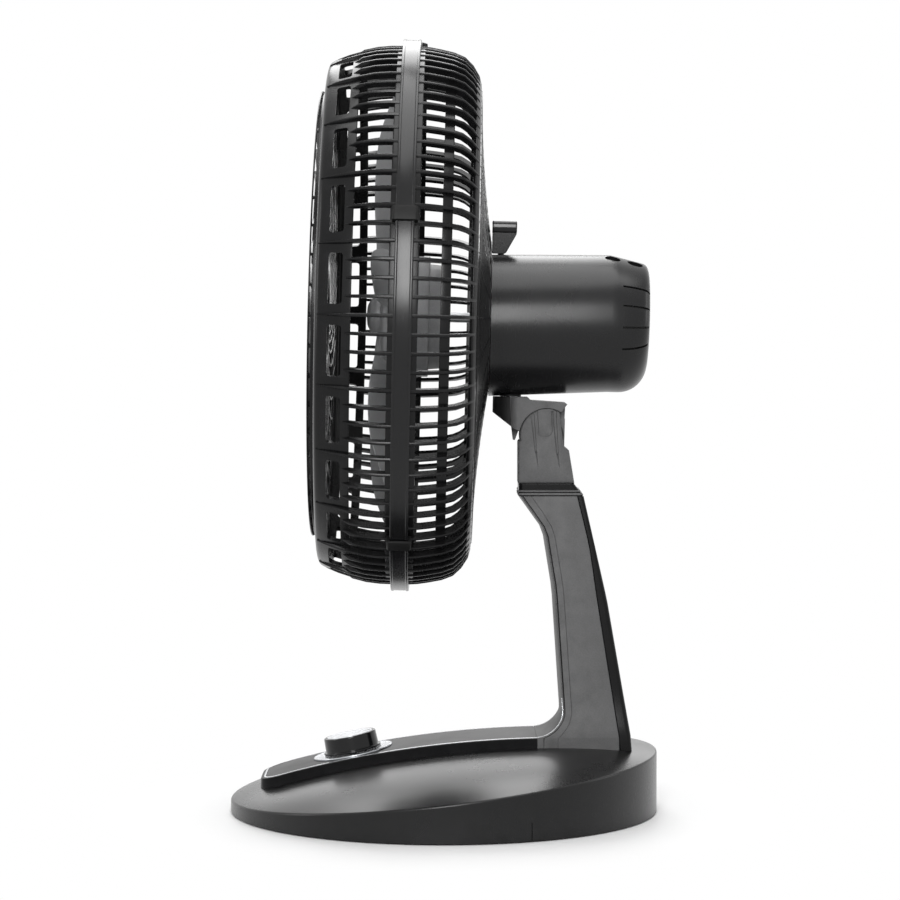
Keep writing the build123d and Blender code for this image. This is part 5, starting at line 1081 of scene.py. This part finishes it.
# %% The dish and the things draped on it
RIM_Z = 29.7
RIM_LEAN = radians(6.45)
RIM_AXIS = Vector((0, -sin(RIM_LEAN), cos(RIM_LEAN)))
CROWN = 20.3
CROWN_BEND = 841.5
SHOULDER = 120.0
SHOULDER_BEND = 327.6
BASE_R = 170.8
BASE_WALL = 2.4
BASE_FOOT = 0.7
BASE_STEPS = 160
DRAPE_CUTS = [((0, -152.0 + 8.0 * n, 0), (0, 1, 0)) for n in range(29)]
DRAPE_CUTS += [((x, 0, 0), (1, 0, 0)) for x in (-24.0, -12.0, 0.0, 12.0, 24.0)]


def dish_profile(radius):
    """Height of the dish over its rim plane at a radius: a flat crown that runs into a rounder edge."""
    if radius <= SHOULDER:
        return CROWN - CROWN_BEND + sqrt(CROWN_BEND ** 2 - radius ** 2)
    lean = asin(SHOULDER / CROWN_BEND)
    centre = Vector((SHOULDER, dish_profile(SHOULDER))) - Vector((sin(lean), cos(lean))) * SHOULDER_BEND
    return centre.y + sqrt(SHOULDER_BEND ** 2 - (radius - centre.x) ** 2)


def dish_height(x, y, rise=0.0):
    """Height above the floor of the dish, raised along its axis, at a place in plan."""
    z = RIM_Z + CROWN
    for _ in range(8):
        place = Vector((x, y, z - RIM_Z))
        level = place.dot(RIM_AXIS)
        away = (place - RIM_AXIS * level).length
        z += (dish_profile(away) + rise - level) / RIM_AXIS.z
    return z


def draped(bm):
    """Cuts a flat part into strips and lays it over the dish; its own height becomes the rise."""
    for place, normal in DRAPE_CUTS:
        bmesh.ops.bisect_plane(bm, geom=bm.verts[:] + bm.edges[:] + bm.faces[:], dist=1e-4, plane_co=place,
                               plane_no=normal)
    for vertex in bm.verts:
        vertex.co.z = dish_height(*vertex.co)
    return bm


def base_column(angle, inset, soft, foot):
    """Places of the base's skin along one direction, from the crown out to the foot of the wall."""
    across, along = cos(angle), sin(angle)
    edge = BASE_R - inset
    places = [(r * across, r * along, dish_height(r * across, r * along, -inset))
              for r in [*[edge * n / 14 for n in range(1, 14)], edge - soft, edge]]
    corner, inner = Vector(places.pop()), Vector(places[-1])
    lower = corner - Vector((0, 0, soft))
    for t in [n / 5 for n in range(1, 6)]:
        places.append(tuple(inner * (1 - t) ** 2 + corner * 2 * t * (1 - t) + lower * t ** 2))
    return [*places, (edge * across, edge * along, foot)]


def base_mesh():
    """The base's closed skin: outside, foot of the wall, inside."""
    bm = bmesh.new()
    skins = []
    for inset, soft, foot in ((0.0, 1.5, BASE_FOOT + 0.4), (BASE_WALL, 1.0, BASE_FOOT)):
        crown = bm.verts.new((0, 0, dish_height(0, 0, -inset)))
        columns = []
        for n in range(BASE_STEPS):
            places = base_column(2 * pi * n / BASE_STEPS, inset, soft, foot)
            columns.append([bm.verts.new(place) for place in places])
        skins.append(columns)
        for here, there in zip(columns, columns[1:] + columns[:1]):
            bm.faces.new([crown, here[0], there[0]])
            for n in range(len(here) - 1):
                bm.faces.new([here[n], here[n + 1], there[n + 1], there[n]])
    feet = [(outer[-1], inner[-1]) for outer, inner in zip(*skins)]
    for here, there in zip(feet, feet[1:] + feet[:1]):
        bm.faces.new([*here, *there[::-1]])
    return bm


# %% [markdown]
# The shell gets its holes: one for the switch's shaft under the dial, one for the cord's gland at the
# rear, and a short seam on each side of the wall where the two halves of the mould met.

# %% Base shell
SEAM_ANGLE = 23.0
SHAFT_HOLE = (5.0, -20.0, 8.0, DIAL)
TO_REAR = Matrix.Translation((0, 0, 20.0)) @ Matrix.Rotation(radians(-90), 4, "X")

base = object_from(base_mesh(), "base_shell_dress", FLOOR)
cut(base, rod(*SHAFT_HOLE))
cut(base, rod(7.05, 160.0, 180.0, FLOOR @ TO_REAR))
for angle in (SEAM_ANGLE, 180 - SEAM_ANGLE):
    turn = Matrix.Rotation(radians(angle), 4, "Z")
    cut(base, plate("seam", rectangle(BASE_R - 0.7, BASE_R + 3.0, 1.0, 15.0), -0.4, 0.4, "XZ", FLOOR @ turn))
finished(base, base_plastic, "base", "base_black", "base_shell", level_faces=True)

# %% [markdown]
# The control strip runs from the front edge to the column's toe. It is drawn flat, its upper edges
# are rounded, and then it is draped. The trim is a bright line that is let into it, a little inside
# its edge. The dial stands square to the strip in a round recess.

# %% Control strip and trim line
STRIP_FRONT = -146.0
STRIP_REAR = 73.8
STRIP_HALF = 38.0
STRIP_CORNER = 20.0
STRIP_RISE = 8.0
STRIP_SOFT = 0.7
TRIM_INSET = 2.6
TRIM_WIDTH = 1.3
TRIM_OUT = 0.15
BEZEL_R = 32.0


def strip_outline(inset, corner_steps=8):
    """The strip's outline in plan, moved inwards."""
    half, corner = STRIP_HALF - inset, STRIP_CORNER - inset
    angles = [radians(90 * n / corner_steps) for n in range(corner_steps + 1)]
    right = [(half - corner + corner * sin(angle), STRIP_FRONT + inset + corner - corner * cos(angle))
             for angle in angles]
    return [(half, STRIP_REAR), *right[::-1], *[(-x, y) for x, y in right], (-half, STRIP_REAR)]


strip_bm = pressed(strip_outline(0.0), 0.02, STRIP_RISE)
bmesh.ops.recalc_face_normals(strip_bm, faces=strip_bm.faces)
upper = [edge for edge in strip_bm.edges if all(v.co.z > 1 for v in edge.verts)
         and not all(abs(v.co.y - STRIP_REAR) < 1e-6 for v in edge.verts)]
bmesh.ops.bevel(strip_bm, geom=upper, offset=STRIP_SOFT, segments=3, profile=0.5, affect="EDGES")
strip = object_from(draped(strip_bm), "control_strip_dress", FLOOR)
cut(strip, rod(BEZEL_R + 0.2, -1.1, 12.0, DIAL, 96))
cut(strip, rod(*SHAFT_HOLE))
finished(strip, strip_plastic, "base", "strip_black", "control_strip", level_faces=True)

trim_outline = strip_outline(TRIM_INSET) + strip_outline(TRIM_INSET + TRIM_WIDTH)[::-1]
trim_bm = pressed(trim_outline, STRIP_RISE - TRIM_OUT, STRIP_RISE + TRIM_OUT)
trim = object_from(draped(trim_bm), "strip_trim_dress", FLOOR)
finished(trim, line_chrome, "base", "trim_chrome", "strip_trim")

# %% [markdown]
# The dial is a turned knob with a skirt, a spun metal cap let into its top and a spun disc below it.
# The cap has one straight notch, which shows the speed.

# %% Dial, cap and bezel
knob = turned("speed_knob_dress", [
    (1.1, 3.02), (1.1, 6.0), (9.7, 6.0), (9.7, 19.3), (1.1, 19.3), (1.1, 23.1, 0.5), (2.7, 23.1, 0.6),
    (2.9, 21.4, 0.3), (14.1, 21.0, 1.8), (14.1, 18.7, 0.3), (13.3, 18.7), (13.3, 0.0), (10.3, 0.0),
    (10.3, 3.02)], 96, DIAL, 5)
finished(knob, dial_plastic, "speed_knob", "dial_black", "speed_knob")

cap = turned("knob_cap_dress", [(13.35, 0.0), (13.35, 18.5, 0.2), (14.35, 18.5, 0.4), (14.2, 17.0, 0.4),
                                (14.25, 0.0)], 96, DIAL)
cut(cap, plate("notch", rounded(rectangle(-0.8, 0.8, 12.0, 17.0, 0.7)), 12.0, 15.0, matrix=DIAL))
finished(cap, trim_chrome, "speed_knob", "trim_chrome", "knob_cap")

bezel = turned("knob_bezel_dress", [(-0.9, 4.0), (-0.9, BEZEL_R, 0.3), (0.7, BEZEL_R, 0.7), (0.7, 30.2, 0.3),
                                    (0.5, 29.8, 0.3), (0.5, 4.0)], 128, DIAL)
finished(bezel, trim_chrome, "base", "trim_chrome", "knob_bezel")

# %% [markdown]
# The column is a slim moulding that narrows upwards. It is stacked from level sections: each has the
# front and rear place and the half width at its height. Two creases run up each side, parallel to the
# front edge: a dark one by the corner, and a fine one where the strip's wall runs on. The foot
# follows the dish.

# %% Column: its lines and sections
COLUMN_TOP = 253.2
COLUMN_FOOT = 60.0
TOE = (74.0, 62.3)
TOE_MIDDLE = (85.7, 67.2)
KNEE = (92.6, 84.0)
FRONT_BOW = 2.2
BOW_RUN = 16.0                  # the bow grows over this height above the toe
DARK_CREASE = (1.25, 1.7)       # width and depth
FINE_CREASE = (0.55, 0.5)
FRONT_LINE = [KNEE, (86.2, 179.2), (79.4, 221.2), (76.4, 229.2), (59.2, COLUMN_TOP)]
SHELL_REAR = [(141.5, 45.6), (121.6, 171.2), (115.4, 214.2), (106.0, COLUMN_TOP)]
COVER_REAR = [(151.4, 45.6), (129.8, 171.0), (111.2, COLUMN_TOP)]
HALF_WIDTHS = [(38.0, 0.0), (38.0, COLUMN_FOOT), (37.85, TOE[1]), (37.45, 66.0), (36.8, 70.0), (35.8, 75.0),
               (34.9, 79.5), (34.1, KNEE[1]), (33.2, 90.0), (32.4, 97.0), (23.0, 263.0)]


def at_height(line, z):
    """The place along a line of (y, z) corners at a height."""
    for (y0, z0), (y1, z1) in zip(line, line[1:]):
        if z <= z1:
            return y0 + (y1 - y0) * (z - z0) / (z1 - z0)
    return line[-1][0]


def arc_through(first, second, third, steps):
    """Points on the circle arc through three points."""
    a, b, c = Vector(first), Vector(second), Vector(third)
    aa, bb, cc = a.length_squared, b.length_squared, c.length_squared
    d = 2 * (a.x * (b.y - c.y) + b.x * (c.y - a.y) + c.x * (a.y - b.y))
    centre = Vector(((aa * (b.y - c.y) + bb * (c.y - a.y) + cc * (a.y - b.y)) / d,
                     (aa * (c.x - b.x) + bb * (a.x - c.x) + cc * (b.x - a.x)) / d))
    start = a - centre
    sweep = start.angle_signed(c - centre)
    return [tuple(centre + Matrix.Rotation(-sweep * n / steps, 2) @ start) for n in range(steps + 1)]


def beside(path, distance):
    """The path (y, z) moved to its rear and lower side by a distance."""
    moved = []
    for n, place in enumerate(path):
        step = Vector(path[min(n + 1, len(path) - 1)]) - Vector(path[max(n - 1, 0)])
        moved.append(tuple(Vector(place) + Vector((step.y, -step.x)).normalized() * distance))
    return moved


def half_width(z):
    """Half the column's width at a height."""
    return at_height(HALF_WIDTHS, z)


def bow_at(z):
    """How far the front's middle stands out before its corners: nothing at the toe, then more."""
    return FRONT_BOW * min(1.0, max(0.0, (z - TOE[1]) / BOW_RUN))


def creases_at(z):
    """Both creases of a side at a height, as (y, width, depth)."""
    dark, fine = [at_height(line, max(z, line[0][1])) for line in (edge_crease, wall_crease)]
    return [(dark, *DARK_CREASE), (max(fine, dark + 1.6), *FINE_CREASE)]


def column_section(front, z, creases):
    """One level section: a bowed front between two corners, and the creases of both sides."""
    half, bowed = half_width(z), bow_at(z)
    side = [(half, front + bowed, 0.8)]
    for y, width, depth in creases:
        side += [(half, y - width / 2), (half - depth, y - width / 6), (half - depth, y + width / 6),
                 (half, y + width / 2)]
    side.append((half, at_height(SHELL_REAR, z), 1.2))
    bow = [(half * share, front + bowed * share * share) for share in (-0.8, -0.5, 0.0, 0.5, 0.8)]
    outline = rounded([*side, *[(-x, *rest) for x, *rest in side[::-1]], *bow], 4)
    return [(x, y, z) for x, y in outline]


def on_dish(section):
    """A section laid on the dish, a hair above it."""
    return [(x, y, dish_height(x, y, 0.05)) for x, y, _ in section]


# %% [markdown]
# The front corners follow an arc from the toe to the knee and then a nearly straight line. Both creases
# keep their distance from that path, and close where they meet the dish.

# %% Column shell
heights = [*[KNEE[1] + 9.0 * n for n in range(1, 15)], 221.2, 229.2, 241.0, COLUMN_TOP]
levels = arc_through(TOE, TOE_MIDDLE, KNEE, 8) + [(at_height(FRONT_LINE, z), z) for z in heights]
corner_path = [(front + bow_at(z), z) for front, z in levels]
edge_crease, wall_crease = beside(corner_path, 1.15), beside(corner_path, 6.6)
closed_creases = [(y, width, 0.0) for y, width, _ in creases_at(TOE[1])]
foot = on_dish(column_section(TOE[0], COLUMN_FOOT, closed_creases))
rows = [column_section(front, z, creases_at(z)) for front, z in levels]
column = stacked("column_shell_dress", [foot, *rows], FLOOR)
finished(column, neck_plastic, "base", "neck_grey", "column_shell", angle=22, level_faces=True)

# %% [markdown]
# A thin black sheet lies on the column's bowed front, from the toe up to the collar: it is painted shade
# on that face. The bright line runs on it at the same distance from each corner and ends above the knee.
# A thin dark sheet lies in the first crease of each side: painted shade that turns the crease into a black
# line.

# %% Painted shade on the column's front and creases, and the trim line up the column
TRIM_TOP = 96.0
FRONT_SHADE_OUT, FRONT_SHADE_IN = 0.08, 0.6         # from the front's face
LINE_OUT, LINE_IN = 0.2, 0.15
FRONT_SHADE_SHARES = [(-1.0, -0.7), (-0.8, 0.0), (-0.5, 0.0), (0.0, 0.0), (0.5, 0.0), (0.8, 0.0), (1.0, 0.7)]


def front_rows(path, shares, outside, inside):
    """Rows of a sheet on the column's bowed front: across it at shares of its half width."""
    rows = []
    for (y0, z0), (y1, z1), (_, z) in zip(beside(path, -outside), beside(path, inside), path):
        across = [half_width(z) * share - edge for share, edge in shares]
        bows = [bow_at(z) * (x / half_width(z)) ** 2 for x in across]
        outer = [(x, y0 + bow, z0) for x, bow in zip(across, bows)]
        inner = [(x, y1 + bow, z1) for x, bow in zip(across, bows)]
        rows.append([*outer, *inner[::-1]])
    return rows


def crease_shade_rows(side, low=0.25, deep=0.6, half=0.58):
    """Rows of the painted-shade sheet in a side's first crease, just below its edges."""
    rows = []
    for _, z in levels:
        y = at_height(edge_crease, z)
        outer, inner = side * (half_width(z) - low), side * (half_width(z) - deep)
        rows.append([(outer, y - half, z), (outer, y + half, z), (inner, y + half, z), (inner, y - half, z)])
    return rows


def trim_rows(side):
    """Rows of the bright line on one side of the front."""
    shares = [(side, side * TRIM_INSET), (side, side * (TRIM_INSET + TRIM_WIDTH))]
    return front_rows([place for place in front_path if place[1] < TRIM_TOP], shares, LINE_OUT, LINE_IN)


front_path = [(STRIP_REAR, TOE[1]), *levels]
# The black sheet on the column's front is painted shade.
front_shade_rows = front_rows(front_path, FRONT_SHADE_SHARES, FRONT_SHADE_OUT, FRONT_SHADE_IN)
front_shade_sheet = stacked("column_front_shade_dress", front_shade_rows, FLOOR)
finished(front_shade_sheet, strip_plastic, "base", "strip_black", level_faces=True)
# The second pair is painted shade: a dark sheet in each side's first crease.
for name, side_rows, finish, slot in [("column_trim_dress", trim_rows, line_chrome, "trim_chrome"),
                                      ("column_crease_shade_dress", crease_shade_rows, cover_plastic, "cover_black")]:
    pair = [stacked("one_side", side_rows(side)) for side in (1, -1)]
    finished(joined(name, pair, FLOOR), finish, "base", slot)

# %% [markdown]
# The rear cover closes the column's back. It is a darker, shinier moulding, and its rear corners are
# rounder than the shell's.

# %% Column rear cover
COVER_INSET = 1.2
COVER_GAP = 0.3
COVER_FOOT = 58.0


def cover_section(z):
    """One level section of the cover."""
    half, rear = half_width(z) - COVER_INSET, at_height(COVER_REAR, z)
    front = at_height(SHELL_REAR, z) + COVER_GAP
    outline = rounded([(half, front, 0.6), (half, rear, 3.6), (-half, rear, 3.6), (-half, front, 0.6)], 5)
    return [(x, y, z) for x, y in outline]


rows = [cover_section(z) for z in [*[64.0 + 8.0 * n for n in range(22)], 240.0, COLUMN_TOP]]
cover = stacked("column_rear_cover_dress", [on_dish(cover_section(COVER_FOOT)), *rows], FLOOR)
finished(cover, cover_plastic, "base", "cover_black", "column_rear_cover", angle=30, level_faces=True)

# %% [markdown]
# Between column and neck lies a collar with a hollow and two fine lines round it, and a dark band inside the
# hollow as painted shade.
# The neck's fork and the tilt bracket must clear each other when the head tilts, so they start as a
# copy of their model: the copy is welded, and then it gets its pressed details. The fork has a
# round-bottomed recess on the near side and tapering grooves on both sides. The bracket has a small
# index mark, and its rear, round the swivel, is a boss in a dark finish.

# %% Collar, neck and bracket
COLLAR_HALF = 24.5
COLLAR_FRONT = 58.6
COLLAR_CORNER = 3.5
COLLAR_REAR = [(111.8, 253.4), (108.6, 258.0), (104.6, 263.0)]
COLLAR_LEVELS = [(253.4, 1.4), (254.2, 1.4), (254.3, 0.2), (255.8, 0.2), (255.9, 1.4), (256.8, 1.4),
                 (256.9, 0.2), (257.7, 0.2), (258.3, 1.2), (259.4, 2.0), (261.2, 2.4), (263.0, 2.5)]
NECK_HALF = 19.5
RECESS_DEPTH = 0.8
GROOVE_DEPTH = 2.4
# Each groove: its top and bottom (y, z), and its half width at both.
GROOVES = [((68.9, 320.9), (72.8, 287.4), 0.55, 0.3), ((71.6, 320.9), (73.9, 287.4), 0.3, 0.2),
           ((86.4, 320.9), (89.9, 285.4), 0.55, 0.3), ((89.3, 320.9), (91.1, 285.4), 0.3, 0.2),
           ((73.3, 288.6), (75.0, 276.1), 0.8, 0.08), ((90.4, 286.6), (92.1, 275.8), 0.8, 0.08),
           ((74.4, 320.9), (75.6, 303.0), 0.5, 0.3), ((85.4, 320.9), (86.3, 304.0), 0.3, 0.2)]
BOSS_REAR = 53.2


def collar_section(z, inset):
    """One level of the collar."""
    half, front, rear = COLLAR_HALF - inset, COLLAR_FRONT + inset, at_height(COLLAR_REAR, z) - inset
    corners = [(half, front), (half, rear), (-half, rear), (-half, front)]
    return [(x, y, z) for x, y in rounded([(*corner, COLLAR_CORNER) for corner in corners], 5)]


def welded_copy(node, name):
    """A welded copy of a CAD node's mesh, in metres."""
    bm = bmesh.new()
    source = frame["nodes"][node]
    bm.from_mesh(source.data)
    bmesh.ops.transform(bm, matrix=source.matrix_world, verts=bm.verts)
    return object_from(bm, name, merge=1e-6)


def side_slot(points, depth, side=1):
    """A cutter for the neck's side: an outline in (y, z), sunk by a depth from the side face."""
    low, high = sorted((side * (NECK_HALF - depth), side * (NECK_HALF + 2.5)))
    return plate("side_slot", points, low, high, "YZ", FLOOR)


collar = stacked("neck_collar_dress", [collar_section(z, inset) for z, inset in COLLAR_LEVELS], FLOOR)
finished(collar, neck_plastic, "base", "neck_grey", "neck_collar", level_faces=True)
# A dark band just inside the collar: painted shade in its hollow.
collar_hollow_shade = stacked("collar_hollow_shade_dress", [collar_section(z, 1.0) for z in (253.5, 258.0, 262.9)], FLOOR)
finished(collar_hollow_shade, cover_plastic, "base", "cover_black")

neck = welded_copy("neck_head", "neck_head_dress")
recess = rounded([(73.4, 330.0), (86.6, 330.0), (86.6, 300.0, 6.6), (73.4, 300.0, 6.6)], 6)
cut(neck, side_slot(recess, RECESS_DEPTH))
for side in (1, -1):
    for (y0, z0), (y1, z1), wide, narrow in GROOVES:
        groove = [(y0 - wide, z0), (y0 + wide, z0), (y1 + narrow, z1), (y1 - narrow, z1)]
        cut(neck, side_slot(groove, GROOVE_DEPTH, side))
finished(neck, neck_plastic, "base", "neck_grey", "neck_head", angle=14, level_faces=True)

bracket = welded_copy("tilt_bracket", "tilt_bracket_dress")
cut(bracket, plate("index_mark", [(80.6, 325.6), (83.2, 325.6), (81.9, 323.2)], 17.5, 20.0, "YZ", FLOOR))
boss = welded_copy("tilt_bracket", "swivel_boss_dress")
for piece, operation in ((bracket, "DIFFERENCE"), (boss, "INTERSECT")):
    boss_box = plate("boss_box", rectangle(20.0, BOSS_REAR, 280.0, 350.0), -40.0, 40.0, "YZ", FLOOR)
    cut(piece, boss_box, operation)
finished(bracket, neck_plastic, "tilt", "neck_grey", "tilt_bracket", angle=14, level_faces=True)
finished(boss, clip_plastic, "tilt", "housing_black", angle=14, level_faces=True)

# %% [markdown]
# All other pieces are small, plain or hidden: screws, plates, the motor's iron and copper, the gears.
# They keep the shape of their model and get their real finish here.

# %% Pieces that keep their model's shape
KEPT = [
    (foot_rubber, ["rubber_feet", "cord_gland"]),
    (under_plastic, ["base_bottom_plate"]),
    (inner_plastic, ["speed_switch", "run_capacitor", "tilt_washers", "swivel_sleeve", "cage_nut"]),
    (steel, ["base_screws", "switch_shaft", "tilt_bolt", "tilt_nut", "swivel_stud", "plate_screws",
             "bearing_front", "bearing_rear", "motor_bolts", "motor_shaft", "link_arm"]),
    (cast_alloy, ["housing_front_plate", "rear_bracket", "gearbox_case"]),
    (laminations, ["stator_core", "rotor_core"]),
    (copper, ["stator_windings"]),
    (brass, ["worm"]),
    (nylon, ["worm_wheel", "clutch_spindle", "crank_gear", "shift_fork"])]
for material, names in KEPT:
    for name in names:
        for slot in frame["nodes"][name].material_slots:
            slot.material = material
print("kept:", sum(len(names) for _, names in KEPT), "dressed:", len(PIECES))
